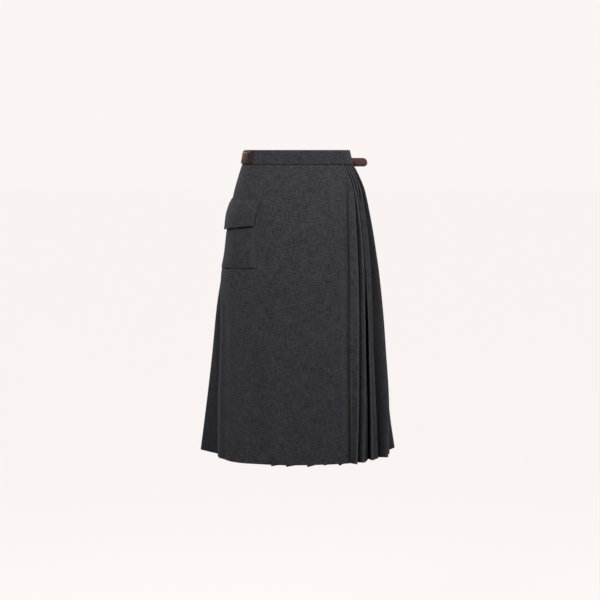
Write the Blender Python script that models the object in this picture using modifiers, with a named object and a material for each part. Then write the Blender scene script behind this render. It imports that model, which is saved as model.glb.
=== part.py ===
"""Pleated wrap midi skirt in charcoal wool, with a hip pocket and two leather waist pieces.

The skirt keeps the hollow form it has when worn.  Metres, +Z up, front towards -Y.
The origin is the middle of the waist opening, level with the waistband's top edge.

Every cloth piece is a thin wall.  Its middle surface is worked out row by row: at each
height the skirt's outline is a rounded oval, and a place on it is given by
  turn - degrees round the oval seen from above: 0 right side, 90 back, 180 left, -90 front
  lift - distance out of the oval along its normal
"""

import math
from collections import namedtuple

import bmesh
import bpy

# ---- driving sizes -------------------------------------------------------------------

MM = 0.001
OVAL = 2.15              # roundness of the outline: 2 is an ellipse, more is squarer
CLOTH = 1.6 * MM         # wall of the wool cloth
BAND_WALL = 2.6 * MM     # doubled cloth of the waistband
LEATHER = 2.2 * MM
GAP = 0.3 * MM           # clearance between neighbouring pieces
BAND_HEIGHT = 34 * MM
TOP = -(BAND_HEIGHT + 2 * GAP)
HEM = -735 * MM
UNDER_HEM = -741 * MM    # the underlayer hangs a little below the apron
PLUMB = 3 * MM           # the first stretch below a seam hangs plumb
UNDER = -4.2 * MM        # lift of whatever lies beneath the wrap
SIDE_START = -3.3 * MM   # lift where the side pleats start, just under the apron's right edge
UNDER_EDGE = 1.6         # degrees that they reach in beneath it
FOLD = 2.5 * MM          # distance between the two layers at a pressed fold
SEAM_BACK = 150.0        # turn of the seam between the pleated back and the plain side
SEAM_UNDER = 252.0       # turn of the seam between the plain side and the under apron
DRAW_FROM = 178.0        # the plain side runs straight from here to its front seam

# The skirt's outline by height, in millimetres, then the apron's two edges in degrees,
# how far its left edge hangs in, and how far the layer below is drawn straight, 0 to 1.
Level = namedtuple("Level", "down right left front back edge_left edge_right fall draw")
LEVELS = [
    Level(0, 127.3, 124.6, 94, 92, -187.0, -42.0, 0.0, 0.00),
    Level(34, 135.5, 130.8, 99, 98, -187.0, -42.0, 0.0, 0.00),
    Level(60, 148.8, 138.7, 106, 108, -186.5, -39.0, 0.0, 0.00),
    Level(80, 157.6, 144.6, 111, 116, -186.0, -42.0, 0.0, 0.00),
    Level(100, 164.2, 150.0, 116, 123, -185.5, -44.5, 0.0, 0.00),
    Level(150, 174.6, 160.4, 126, 138, -184.0, -48.5, 0.0, 0.00),
    Level(200, 183.8, 167.2, 133, 147, -182.5, -50.5, 0.0, 0.05),
    Level(250, 191.5, 173.2, 139, 151, -181.0, -52.2, 0.0, 0.12),
    Level(300, 198.6, 184.2, 144, 154, -178.5, -53.5, 2.0, 0.25),
    Level(400, 209.2, 196.6, 153, 160, -169.5, -55.8, 11.0, 0.45),
    Level(500, 217.3, 206.8, 161, 166, -164.0, -57.5, 15.0, 0.64),
    Level(600, 227.5, 219.0, 170, 173, -160.0, -58.7, 19.5, 0.80),
    Level(735, 241.5, 237.0, 182, 184, -154.0, -60.5, 29.0, 0.97),
]

# The side pleats, front to back.  turn_N is the crest's turn N mm down; crest and valley
# are lifts at the hem in millimetres; tuck is how many degrees the valley lies back under
# its crest at the hem, less than 0 where the pleat has opened.
Pleat = namedtuple("Pleat", "turn_34 turn_100 turn_200 turn_350 turn_550 turn_735 crest valley tuck")
PLEAT_DOWN = (34, 100, 200, 350, 550, 735)
SIDE_PLEATS = [
    Pleat(-36.0, -36.5, -41.6, -46.8, -52.0, -57.5, 17.0, -16.0, -0.7),
    Pleat(-30.5, -32.0, -34.6, -40.0, -45.5, -51.5, 8.0, -14.5, -6.0),
    Pleat(-19.0, -20.5, -23.3, -28.5, -31.5, -34.0, -9.5, -21.5, -3.0),
    Pleat(-10.0, -4.0, -1.0, -2.0, -10.0, -26.7, 3.0, -21.5, -6.0),
    Pleat(0.0, 6.0, 10.0, 11.0, 3.0, -14.0, -9.5, -29.0, -6.0),
    Pleat(10.0, 16.0, 22.0, 25.0, 20.0, 9.0, 4.0, -14.0, 3.0),
]
# A soft ridge on the face between the second and third pleats.
RIDGE = Pleat(-25.0, -26.5, -29.5, -34.3, -38.5, -43.7, -2.5, -2.5, 0.0)
CREST_TOP = 1.2          # lifts at the waistband, mm
VALLEY_TOP = -6.5
BACK_VALLEY_TOP = -9.0
TUCK_TOP = 0.34          # part of the pleat width turned under at the waistband

BACK_PLEATS = 9          # knife pleats across the back, evenly spaced
BACK_LAST = 138.0        # turn of the last back crest
BACK_HEM = (5.0, -13.0)  # crest and valley lift at the hem, mm

# The under apron's pleats: their crests point to the left.
UNDER_PLEATS = (-103.0, -94.8, -84.6, -75.6, -66.4)
UNDER_END = -60.8
UNDER_DEPTH = (7.0, 16.0)    # depth of a pleat at the waistband and at the hem, mm
UNDER_TUCK = (2.6, 1.2)      # degrees, at the waistband and at the hem

# What is sewn on the apron.  left and right are places across the apron, from 0 at its left
# edge to 1 at its right edge; slant is how much the right side runs in towards the bottom;
# bottom is the height of the bottom left corner, and the right one lies higher by rise.
Patch = namedtuple("Patch", "left right slant top bottom rise")
BAG = Patch(0.045, 0.455, -0.015, -136 * MM, -282.5 * MM, 6 * MM)
FLAP = Patch(0.033, 0.460, 0.012, -116 * MM, -192 * MM, 14.5 * MM)
PATCH_COLUMNS = 10
PATCH_ROWS = 5
FLAP_SPRING = 7 * MM     # how far the flap stands off over the pocket

BAND_FROM = -187.0       # turn of the waistband's outer end
BAND_STEP = 7.0
# Leather: turns where the tab ends on the waistband and where the strap leaves it.
TAB_WIDTH = 28 * MM
TAB_TO = -141.5
STRAP_WIDTH = 21 * MM
STRAP_LEAVES = 65.0
STRAP_FREE = 119 * MM        # length that stands free of the waistband
STRAP_DROP = 11.5 * MM         # how far the free end hangs below the root

COLLECTION = "Pleated midi skirt"


# ---- helpers -------------------------------------------------------------------------

def smooth_table(x, xs, ys):
    """Smooth curve through a table's values, read at x."""
    i = 0
    while i < len(xs) - 2 and x > xs[i + 1]:
        i += 1
    h = xs[i + 1] - xs[i]
    t = min(max((x - xs[i]) / h, 0.0), 1.0)

    def slope(k):
        a = max(k - 1, 0)
        b = min(k + 1, len(xs) - 1)
        return (ys[b] - ys[a]) / (xs[b] - xs[a])

    return ((2 * t ** 3 - 3 * t ** 2 + 1) * ys[i]
            + (t ** 3 - 2 * t ** 2 + t) * h * slope(i)
            + (3 * t ** 2 - 2 * t ** 3) * ys[i + 1]
            + (t ** 3 - t ** 2) * h * slope(i + 1))


def level(z):
    """Row of LEVELS at height z, between the given rows too."""
    down = [row.down for row in LEVELS]
    x = -z / MM
    return Level(*(smooth_table(x, down, [row[k] for row in LEVELS]) for k in range(len(Level._fields))))


def ease(x):
    """0 to 1 with a soft start and end."""
    x = min(max(x, 0.0), 1.0)
    return x * x * (3 - 2 * x)


def mix(a, b, t):
    return a + (b - a) * t


def spread(z):
    """How far the pleats have opened: 0 at the waistband, 1 at the hem."""
    return min(max((TOP - z) / (TOP - HEM), 0.0), 1.0) ** 1.5


def outline(z, turn, lift=0.0):
    """Point of the skirt's outline at height z, moved out by lift."""
    row = level(z)
    c = math.cos(math.radians(turn))
    s = math.sin(math.radians(turn))
    a = (row.right if c >= 0 else row.left) * MM
    b = (row.back if s >= 0 else row.front) * MM
    x = math.copysign(a * abs(c) ** (2 / OVAL), c)
    y = math.copysign(b * abs(s) ** (2 / OVAL), s)
    nx = math.copysign(abs(c) ** (2 - 2 / OVAL) / a, c)
    ny = math.copysign(abs(s) ** (2 - 2 / OVAL) / b, s)
    n = math.hypot(nx, ny)
    return (x + lift * nx / n, y + lift * ny / n)


def heights(hem):
    """Row heights of a piece from the waist seam to its hem, at the table's own levels."""
    inner = [-row.down * MM for row in LEVELS if hem + 4 * MM < -row.down * MM < TOP - 4 * MM]
    return [TOP, TOP - PLUMB, *inner, hem]


# ---- where each piece of cloth runs --------------------------------------------------

def apron_point(z, across, lift=0.0):
    """Point of the apron: across runs from 0 at its left edge to 1 at its right edge."""
    row = level(z)
    turn = mix(row.edge_left, row.edge_right, across)
    return outline(z, turn, lift - apron_fall(z, turn))


def apron_fall(z, turn):
    """How far the left part of the apron hangs in from the outline."""
    row = level(z)
    v = max((-118 - turn) / (-118 - row.edge_left), 0.0)
    return row.fall * MM * v ** 1.3


def apron_columns():
    """Places across the apron; those under the pocket are the pocket's own."""
    pocket = [mix(BAG.left, BAG.right, k / PATCH_COLUMNS) for k in range(PATCH_COLUMNS + 1)]
    return [0.0, *pocket, *(mix(BAG.right, 1.0, (k + 1) / 11) for k in range(11))]


def pleat_turns(pleat, z):
    return smooth_table(-z / MM, PLEAT_DOWN, pleat[:6])


def creased(points):
    """Plan line with the folds pressed in: a point given as (x, y, True) is a fold, and
    its two layers end FOLD apart, side by side across the way the fold points."""
    line = []
    for k, (x, y, fold) in enumerate(points):
        if not fold:
            line.append((x, y))
            continue
        before = toward(points[k], points[k - 1])
        after = toward(points[k], points[k + 1])
        bx = before[0] + after[0]
        by = before[1] + after[1]
        n = math.hypot(bx, by)
        side = math.copysign(FOLD / 2 / n, before[1] * bx - before[0] * by)
        line.append((x - by * side, y + bx * side))
        line.append((x + by * side, y - bx * side))
    return line


def toward(a, b):
    """Unit direction from a to b in plan."""
    dx = b[0] - a[0]
    dy = b[1] - a[1]
    n = math.hypot(dx, dy)
    return (dx / n, dy / n)


def side_fold(index, z):
    """Crest turn, crest lift, valley turn and valley lift of one side pleat at height z."""
    pleat = SIDE_PLEATS[index]
    open_ = spread(z)
    turn = pleat_turns(pleat, z)
    before = pleat_turns(SIDE_PLEATS[index - 1], z) if index else level(z).edge_right
    tuck = mix(TUCK_TOP * (turn - before), pleat.tuck, open_)
    crest = mix(CREST_TOP, pleat.crest, open_) * MM
    valley = mix(VALLEY_TOP, pleat.valley, open_) * MM
    return turn, crest, turn - tuck, valley


def back_fold(index, z):
    """The same for one back pleat."""
    open_ = spread(z)
    first = pleat_turns(SIDE_PLEATS[-1], z)
    step = (BACK_LAST - first) / BACK_PLEATS
    turn = first + step * (index + 1)
    crest = mix(CREST_TOP, BACK_HEM[0], open_) * MM
    valley = mix(BACK_VALLEY_TOP, BACK_HEM[1], open_) * MM
    return turn, crest, turn - TUCK_TOP * step, valley


def pleat_seam(z, side):
    """The seam inside the last side pleat: side is -1 before the gap and 1 after it."""
    start = outline(z, *side_fold(len(SIDE_PLEATS) - 1, z)[2:])
    end = outline(z, *back_fold(0, z)[:2])
    length = math.dist(start, end)
    at = (6 * MM + side * GAP / 2) / length
    return (mix(start[0], end[0], at), mix(start[1], end[1], at))


def side_path(z):
    """Side pleats, from the apron's right edge to the seam inside the last pleat."""
    edge = level(z).edge_right
    points = [(*outline(z, edge - UNDER_EDGE, SIDE_START), False), (*outline(z, edge + 0.1, SIDE_START), False)]
    for index in range(len(SIDE_PLEATS)):
        turn, crest, valley_turn, valley = side_fold(index, z)
        points.append((*outline(z, turn, crest), True))
        points.append((*outline(z, valley_turn, valley), True))
        if index == 1:
            flat = mix(valley, side_fold(2, z)[1], 0.55)
            lift = mix(flat, RIDGE.crest * MM, spread(z))
            points.append((*outline(z, pleat_turns(RIDGE, z), lift), False))
    points.append((*pleat_seam(z, -1), False))
    return creased(points)


def back_path(z):
    """Back pleats, from the seam inside the last side pleat to the left back seam."""
    points = [(*pleat_seam(z, 1), False)]
    for index in range(BACK_PLEATS):
        turn, crest, valley_turn, valley = back_fold(index, z)
        points.append((*outline(z, turn, crest), True))
        points.append((*outline(z, valley_turn, valley), True))
    last = SEAM_BACK - seam_turn(z, SEAM_BACK)
    points.append((*outline(z, last - 2.5), False))
    points.append((*outline(z, last), False))
    return creased(points)


def seam_turn(z, turn):
    """Half the seam gap as degrees of turn at one place."""
    degree = math.dist(outline(z, turn - 0.5), outline(z, turn + 0.5))
    return GAP * 0.6 / degree


def under_lift(z, turn):
    """Lift of the layer that passes below the apron's left edge."""
    edge = 360 + level(z).edge_left
    covered = ease((turn - (edge - 12)) / 9)
    return covered * (UNDER - apron_fall(z, turn - 360))


def plain_point(z, turn):
    """Point of the plain side: on the outline at the back, drawn straight below the apron."""
    x, y = outline(z, turn, under_lift(z, turn))
    if turn <= DRAW_FROM:
        return (x, y)
    start = outline(z, DRAW_FROM, under_lift(z, DRAW_FROM))
    end = outline(z, SEAM_UNDER, under_lift(z, SEAM_UNDER))
    t = (turn - DRAW_FROM) / (SEAM_UNDER - DRAW_FROM)
    draw = level(z).draw
    return (mix(x, mix(start[0], end[0], t), draw), mix(y, mix(start[1], end[1], t), draw))


def plain_path(z):
    """Plain left side, from the back seam round to the seam with the under apron."""
    steps = 18
    first = SEAM_BACK + seam_turn(z, SEAM_BACK)
    last = SEAM_UNDER - seam_turn(z, SEAM_UNDER)
    line = [plain_point(z, mix(first, last - 1.2, k / steps)) for k in range(steps + 1)]
    return [*line, outline(z, last - 0.8, under_lift(z, last)), outline(z, last, under_lift(z, last))]


def under_path(z):
    """Under apron: pleats whose crests point to the left, just behind the apron."""
    open_ = spread(z)
    depth = mix(*UNDER_DEPTH, open_) * MM
    tuck = mix(*UNDER_TUCK, open_)
    start = SEAM_UNDER - 360 + seam_turn(z, SEAM_UNDER)
    lift = under_lift(z, SEAM_UNDER)
    points = [(*outline(z, start, lift), False), (*outline(z, start + 0.8, lift), False)]
    for turn in UNDER_PLEATS:
        crest = UNDER - FOLD / 2 - apron_fall(z, turn)
        points.append((*outline(z, turn + tuck, crest - depth), True))
        points.append((*outline(z, turn, crest), True))
    points.append((*outline(z, UNDER_END, crest - depth / 2), False))
    return creased(points)


def band_point(z, turn, lift=0.0):
    """Point of the waistband, which is straight from its top edge to its bottom edge."""
    lift += UNDER * ease((turn - 150) / 19)
    upper = outline(0.0, turn, lift)
    lower = outline(-BAND_HEIGHT, turn, lift)
    down = min(-z / BAND_HEIGHT, 1.0)
    return (mix(upper[0], lower[0], down), mix(upper[1], lower[1], down))


def band_path(z):
    """Waistband: from its outer end at the left, once round, and on beneath itself."""
    turns = [BAND_FROM + BAND_STEP * k for k in range(70)]
    return [band_point(z, turn) for turn in turns]


# ---- building ------------------------------------------------------------------------

def material(name, colour, roughness):
    mat = bpy.data.materials.new(name)
    mat.use_nodes = True
    shader = mat.node_tree.nodes["Principled BSDF"]
    shader.inputs["Base Color"].default_value = (*colour, 1.0)
    shader.inputs["Roughness"].default_value = roughness
    shader.inputs["Metallic"].default_value = 0.0
    mat.diffuse_color = (*colour, 1.0)
    return mat


def wall(name, rows, thickness, mat):
    """Closed wall on a grid of points: rows run downwards, columns run round the skirt."""
    bm = bmesh.new()
    grid = [[bm.verts.new(point) for point in row] for row in rows]
    for upper, lower in zip(grid, grid[1:]):
        for k in range(len(upper) - 1):
            bm.faces.new((upper[k], lower[k], lower[k + 1], upper[k + 1]))
    mesh = bpy.data.meshes.new(name)
    bm.to_mesh(mesh)
    bm.free()
    mesh.shade_smooth()
    mesh.set_sharp_from_angle(angle=math.radians(40))
    mesh.materials.append(mat)
    obj = bpy.data.objects.new(name, mesh)
    bpy.data.collections[COLLECTION].objects.link(obj)
    solid = obj.modifiers.new("Wall", "SOLIDIFY")
    solid.thickness = thickness
    solid.offset = 0.0
    solid.use_even_offset = True
    return obj


def cloth(name, path, hem, mat):
    """Cloth wall whose plan line at height z is path(z); it hangs plumb from the waist seam."""
    rows = [[(x, y, z) for x, y in path(min(z, TOP - PLUMB))] for z in heights(hem)]
    return wall(name, rows, CLOTH, mat)


def on_apron(name, patch, lift, mat):
    """Cloth that lies on the apron, moved out by lift(down): down runs from 0 to 1."""
    rows = []
    for i in range(PATCH_ROWS + 1):
        down = i / PATCH_ROWS
        right = patch.right - patch.slant * down
        row = []
        for k in range(PATCH_COLUMNS + 1):
            along = k / PATCH_COLUMNS
            z = mix(patch.top, patch.bottom + patch.rise * along, down)
            row.append((*apron_point(z, mix(patch.left, right, along), lift(down)), z))
        rows.append(row)
    return wall(name, rows, CLOTH, mat)


def bag_lift(down):
    return CLOTH + 2 * GAP


def flap_lift(down):
    """The flap lies on the apron at its seam and stands off over the pocket."""
    return CLOTH + 2 * GAP + FLAP_SPRING * ease(down * 1.8)


def leather_strip(name, place, middles, widths, mat):
    """Leather strip on edge: place(k, z) is its plan point at column k and height z."""
    rows = []
    for across in (0.5, 0.25, 0.0, -0.25, -0.5):
        zs = [middle + across * width for middle, width in zip(middles, widths)]
        rows.append([(*place(k, z), z) for k, z in enumerate(zs)])
    return wall(name, rows, LEATHER, mat)


def on_band(z, turn):
    """Point on the waistband's outer face, moved out to carry a leather strip."""
    return band_point(z, turn, BAND_WALL / 2 + 2 * GAP + LEATHER / 2)


def waist_tab(mat):
    """Tab round the left side, over the wrap's outer end."""
    turns = [TAB_TO - BAND_STEP * k for k in range(12)][::-1]
    middles = [-BAND_HEIGHT / 2] * 12
    return leather_strip("waist_tab", lambda k, z: on_band(z, turns[k]), middles, [TAB_WIDTH] * 12, mat)


def waist_strap(mat):
    """Strap sewn along the back of the waistband, its rounded end standing out at the right."""
    sewn = [STRAP_LEAVES + BAND_STEP * k for k in range(6)][::-1]
    radius = STRAP_WIDTH / 2
    plain = [(STRAP_FREE - radius) * k / 7 for k in range(1, 8)]
    tip = [STRAP_FREE - radius * (1 - math.sin(math.radians(angle))) for angle in (20, 40, 60, 80)]
    reach = [*[0.0] * len(sewn), *plain, *tip]
    middles = [-BAND_HEIGHT / 2 - STRAP_DROP * ease((r / STRAP_FREE - 0.1) / 0.5) for r in reach]
    widths = [STRAP_WIDTH] * (len(sewn) + len(plain))
    widths += [STRAP_WIDTH * math.cos(math.radians(angle)) ** 0.5 for angle in (20, 40, 60, 80)]

    def place(k, z):
        if k < len(sewn):
            return on_band(z, sewn[k])
        x, y = on_band(z, STRAP_LEAVES)
        dx, dy = toward(on_band(z, STRAP_LEAVES + 3), on_band(z, STRAP_LEAVES - 3))
        return (x + dx * reach[k], y + dy * reach[k])

    return leather_strip("waist_strap", place, middles, widths, mat)


def main():
    for obj in list(bpy.data.objects):
        bpy.data.objects.remove(obj, do_unlink=True)
    collection = bpy.data.collections.new(COLLECTION)
    bpy.context.scene.collection.children.link(collection)

    wool = material("charcoal_wool", (0.040, 0.039, 0.044), 0.95)
    shade = material("charcoal_wool_under", (0.024, 0.024, 0.030), 0.95)
    hide = material("brown_leather", (0.095, 0.040, 0.028), 0.50)

    band = [[(x, y, z) for x, y in band_path(z)] for z in (0.0, -BAND_HEIGHT)]
    wall("waistband", band, BAND_WALL, wool)
    columns = apron_columns()
    cloth("front_apron", lambda z: [apron_point(z, c) for c in columns], HEM, wool)
    cloth("side_pleats", side_path, HEM, wool)
    cloth("back_pleats", back_path, HEM, wool)
    cloth("left_side", plain_path, HEM, shade)
    cloth("under_apron", under_path, UNDER_HEM, shade)
    on_apron("pocket_bag", BAG, bag_lift, wool)
    on_apron("pocket_flap", FLAP, flap_lift, wool)
    waist_tab(hide)
    waist_strap(hide)


main()
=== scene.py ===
"""Wool, leather and stitching for a pleated wrap midi skirt, built round its frame.

Metres, +Z up, front towards -Y.  The origin is the middle of the waist opening, level with
the waistband's top edge.  At each height the skirt's outline is a rounded oval, and a place
on it is given by
  turn - degrees round the oval seen from above: 0 right side, 90 back, 180 left, -90 front
  lift - distance out of the oval along its normal
"""

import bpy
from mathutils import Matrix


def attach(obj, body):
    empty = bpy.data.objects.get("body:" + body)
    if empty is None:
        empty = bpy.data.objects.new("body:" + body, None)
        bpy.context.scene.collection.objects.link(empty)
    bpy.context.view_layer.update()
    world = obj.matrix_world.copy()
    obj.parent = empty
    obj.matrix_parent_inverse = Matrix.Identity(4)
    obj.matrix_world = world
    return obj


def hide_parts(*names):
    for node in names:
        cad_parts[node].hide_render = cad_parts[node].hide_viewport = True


bl_info = {
    "name": "Pleated wrap skirt",
    "version": (1, 0, 0),
    "blender": (4, 5, 0),
    "location": "View3D > Sidebar > Skirt",
    "description": "Builds the cloth, leather and stitching of a pleated wrap skirt, and its stage",
    "category": "Add Mesh",
}

import math
from collections import namedtuple
from functools import lru_cache

import bmesh
import bpy
from mathutils import Vector, noise

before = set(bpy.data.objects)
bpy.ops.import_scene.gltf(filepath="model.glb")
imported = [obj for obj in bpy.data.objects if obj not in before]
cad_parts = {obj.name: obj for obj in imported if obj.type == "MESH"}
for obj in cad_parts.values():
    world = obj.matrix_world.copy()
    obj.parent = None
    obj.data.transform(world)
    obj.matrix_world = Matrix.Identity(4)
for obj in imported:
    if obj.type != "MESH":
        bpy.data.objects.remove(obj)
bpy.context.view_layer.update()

# ---- driving sizes -------------------------------------------------------------------

MM = 0.001
OVAL = 2.15              # roundness of the outline: 2 is an ellipse, more is squarer
CLOTH = 1.6 * MM         # the frame's cloth wall
BAND_WALL = 2.6 * MM     # the frame's waistband wall
LEATHER = 2.2 * MM
GAP = 0.3 * MM
BAND_HEIGHT = 34 * MM
TOP = -(BAND_HEIGHT + 2 * GAP)
HEM = -735 * MM
UNDER_HEM = -741 * MM
PLUMB = 3 * MM           # the first stretch below the seam hangs plumb
OPENING = 1.5            # the pleats open by this power of the way down
FALL_FROM = -118.0       # the apron's left part hangs in from this turn on, by this power
FALL_POWER = 1.3
COVER_FROM = 12.0        # the layer below goes in from so many degrees before the apron's left
COVER_OVER = 9.0         # edge, over so many degrees
WRAP_FROM = 150.0        # and the waistband's under layer goes in from this turn, over so many
WRAP_OVER = 19.0
UNDER = -4.2 * MM        # lift of whatever lies beneath the wrap
SIDE_START = -3.3 * MM   # lift where the side pleats start, just under the apron's right edge
UNDER_EDGE = 1.6         # degrees that they reach in beneath it
SEAM_BACK = 150.0        # turn of the seam between the pleated back and the plain side
SEAM_UNDER = 252.0       # turn of the seam between the plain side and the under apron
DRAW_FROM = 178.0        # the plain side runs straight from here to its front seam

# The skirt's outline by height, in millimetres, then the apron's two edges in degrees,
# how far its left edge hangs in, and how far the layer below is drawn straight, 0 to 1.
Level = namedtuple("Level", "down right left front back edge_left edge_right fall draw")
LEVELS = [
    Level(0, 127.3, 124.6, 94, 92, -187.0, -42.0, 0.0, 0.00),
    Level(34, 135.5, 130.8, 99, 98, -187.0, -42.0, 0.0, 0.00),
    Level(60, 148.8, 138.7, 106, 108, -186.5, -39.0, 0.0, 0.00),
    Level(80, 157.6, 144.6, 111, 116, -186.0, -42.0, 0.0, 0.00),
    Level(100, 164.2, 150.0, 116, 123, -185.5, -44.5, 0.0, 0.00),
    Level(150, 174.6, 160.4, 126, 138, -184.0, -48.5, 0.0, 0.00),
    Level(200, 183.8, 167.2, 133, 147, -182.5, -50.5, 0.0, 0.05),
    Level(250, 191.5, 173.2, 139, 151, -181.0, -52.2, 0.0, 0.12),
    Level(300, 198.6, 184.2, 144, 154, -178.5, -53.5, 2.0, 0.25),
    Level(400, 209.2, 196.6, 153, 160, -169.5, -55.8, 11.0, 0.45),
    Level(500, 217.3, 206.8, 161, 166, -164.0, -57.5, 15.0, 0.64),
    Level(600, 227.5, 219.0, 170, 173, -160.0, -58.7, 19.5, 0.80),
    Level(735, 241.5, 237.0, 182, 184, -154.0, -60.5, 29.0, 0.97),
]

# The side pleats, front to back.  turn_N is the crest's turn N mm down; crest and valley
# are lifts at the hem in millimetres; tuck is how many degrees the valley lies back under
# its crest at the hem, less than 0 where the pleat has opened.
Pleat = namedtuple("Pleat", "turn_34 turn_100 turn_200 turn_350 turn_550 turn_735 crest valley tuck")
PLEAT_DOWN = (34, 100, 200, 350, 550, 735)
SIDE_PLEATS = [
    Pleat(-36.0, -36.5, -41.6, -46.8, -52.0, -57.5, 17.0, -16.0, -0.7),
    Pleat(-30.5, -32.0, -34.6, -40.0, -45.5, -51.5, 8.0, -20.0, -10.0),
    Pleat(-25.0, -26.5, -29.5, -33.6, -37.6, -42.4, -2.5, -6.2, -3.5),
    Pleat(-19.0, -20.5, -23.3, -28.5, -31.5, -34.0, -9.5, -21.5, -3.0),
    Pleat(-10.0, -4.0, -1.0, -2.0, -10.0, -26.7, 3.0, -21.5, -6.0),
    Pleat(0.0, 6.0, 10.0, 11.0, 3.0, -14.0, -9.5, -29.0, -6.0),
    Pleat(10.0, 16.0, 22.0, 25.0, 20.0, 9.0, 4.0, -14.0, 3.0),
]
SHALLOW = 2              # this pleat is pressed at the waist, and soft from SOFT_FROM down
SOFT_FROM = -85 * MM
SOFT_TO = -135 * MM
SOFT_TUCK = -0.35        # its valley then opens by this part of the way to the next crest
SOFT_CREST_TOP = -3.4    # and these are its lifts above, mm
SOFT_VALLEY_TOP = -1.9
SWAY = ((-577 * MM, -1.8), (-636 * MM, 2.2))     # the last one hangs in and out here, mm
SWAY_HEIGHT = 28 * MM
EDGE_SHADE = 9 * MM       # width of the painted shade along the apron's right edge
EDGE_SHADE_FROM = -120 * MM   # it begins at this height, and is whole EDGE_SHADE_FULL lower down
EDGE_SHADE_FULL = 120 * MM
EDGE_SHADE_SHARE = 0.45   # how dark it is, as a share of the painted fold shade
BESIDE = 0.28            # the side pleats bend softly at this share of the way to their first crest
SHADED = 0.6             # and before it their painted fold shade is that of cloth this share of DEEP below that crest
OVER_FROM = -230 * MM    # between these heights the pleat before it comes to lap over the fold
OVER_TO = -430 * MM
CREST_TOP = 1.6          # lifts at the waistband, mm, of all the pleats
VALLEY_TOP = -12.0
TUCK_TOP = 0.34          # part of the pleat width turned under at the waistband

BACK_PLEATS = 9          # knife pleats across the back, evenly spaced
BACK_LAST = 138.0        # turn of the last back crest
BACK_HEM = (5.0, -13.0)  # crest and valley lift at the hem, mm
BACK_SHIFT = 0.12        # unevenness of a crest's place, as part of the pleat, and of its lift, mm
BACK_STIR = 2.0
PLEAT_SEAM = 6 * MM      # the seam inside the last side pleat lies this far from its valley

UNDER_PLEATS = (-103.0, -94.8, -84.6, -75.6, -66.4)
UNDER_END = -60.8
UNDER_DEPTH = (7.0, 16.0)    # depth of an under pleat at the waistband and at the hem, mm
UNDER_TUCK = (2.6, 1.2)      # degrees, at the waistband and at the hem
UNDER_FOLD = 1.25 * MM       # an under pleat's crest lies this much further in
UNDER_TIPS = (2.0, 1.4, 0.8, 3.6, 1.6)   # how far each under pleat's corner hangs above the hem, mm
UNDER_SLOPE = 6.5            # and how far the other end of its face does
UNDER_SLOPE_FROM = 70 * MM   # the slope starts this far above the hem

# What is sewn on the apron.  left and right are places across the apron, from 0 at its left
# edge to 1 at its right edge; slant is how much the right side runs in towards the bottom;
# bottom is the height of the bottom left corner, and the right one lies higher by rise.
Patch = namedtuple("Patch", "left right slant top bottom rise")
BAG = Patch(0.045, 0.455, -0.015, -136 * MM, -282.5 * MM, 6 * MM)
FLAP = Patch(0.033, 0.460, 0.020, -116 * MM, -192 * MM, 14.5 * MM)
BAG_PROUD = 1.3          # the bag stands this far off between its edges, BAG_SLACK more at its
BAG_SLACK = 0.9          # right side, and uneven by BAG_UNEVEN, mm
BAG_UNEVEN = 0.7
FLAP_SPRING = 7 * MM
FLAP_UNEVEN = 0.5 * MM
FLAP_CURL = 1.0 * MM     # its lower edge curls in at the left and out at the right

BAND_FROM = -187.0       # turns between which the waistband runs, more than once round
BAND_TO = 296.0
TAB_WIDTH = 30 * MM
TAB_HEIGHT = -17.4 * MM
TAB_FROM = -222.0
TAB_TO = -142.2
TAB_ACROSS = (0.0, 0.60, 0.77, 0.86, 0.91, 0.945, 0.975, 1.0)    # places along the tab
TAB_DARK = (0.0, 0.0, 0.35, 0.62, 0.80, 0.94, 0.76, 0.60)        # and how dark its painted shade is there
STRAP_WIDTH = 21 * MM
STRAP_ROOT = 100.0       # turns between which the strap is sewn on
STRAP_LEAVES = 65.0
STRAP_FREE = 119 * MM
STRAP_DROP = 13.0 * MM

# Creases of the apron: across is the place on it, width and depth in millimetres, and
# top and bottom are heights in millimetres down.  A depth below 0 is a trough.
Crease = namedtuple("Crease", "across drift width depth top bottom")
APRON_CREASES = [
    Crease(0.285, -0.03, 30, 2.2, 250, 800),
    Crease(0.47, -0.02, 40, -1.6, 230, 800),
    Crease(0.060, 0.030, 16.0, 2.8, 290, 735),      # soft rolls beside the left edge
    Crease(0.150, 0.020, 22.0, -2.1, 300, 735),
    Crease(0.330, -0.030, 34.0, 1.5, 330, 720),
    Crease(0.470, 0.025, 30.0, -1.2, 420, 735),
    Crease(0.640, -0.020, 36.0, 1.3, 380, 735),
    Crease(0.800, 0.010, 26.0, -1.1, 470, 735),
    Crease(0.930, 0.000, 10.0, -1.3, 250, 700),
]
# The waist dart: places across the apron by height, and its width and depth in millimetres.
DART_DOWN = (30, 60, 80, 100, 120, 150)
DART_ACROSS = (0.889, 0.868, 0.876, 0.884, 0.891, 0.905)
DART_WIDTH = 1.5
DART_DEPTH = 2.3
DART_END = 152
DIMPLE_FROM = 0.80       # a short sideways dimple runs off its end to the left, from here
DIMPLE_WIDTH = 1.8
DIMPLE_DEPTH = 0.45
APRON_UNEVEN = 0.35      # mm
CREASE_GROWS = 3.5       # a crease is whole after 1 / CREASE_GROWS of its length, and fades out
CREASE_FADES = 5         # past its bottom end, until this share of its length
CREASE_PAST = 1.15


# ---- the skirt's form ----------------------------------------------------------------

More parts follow.
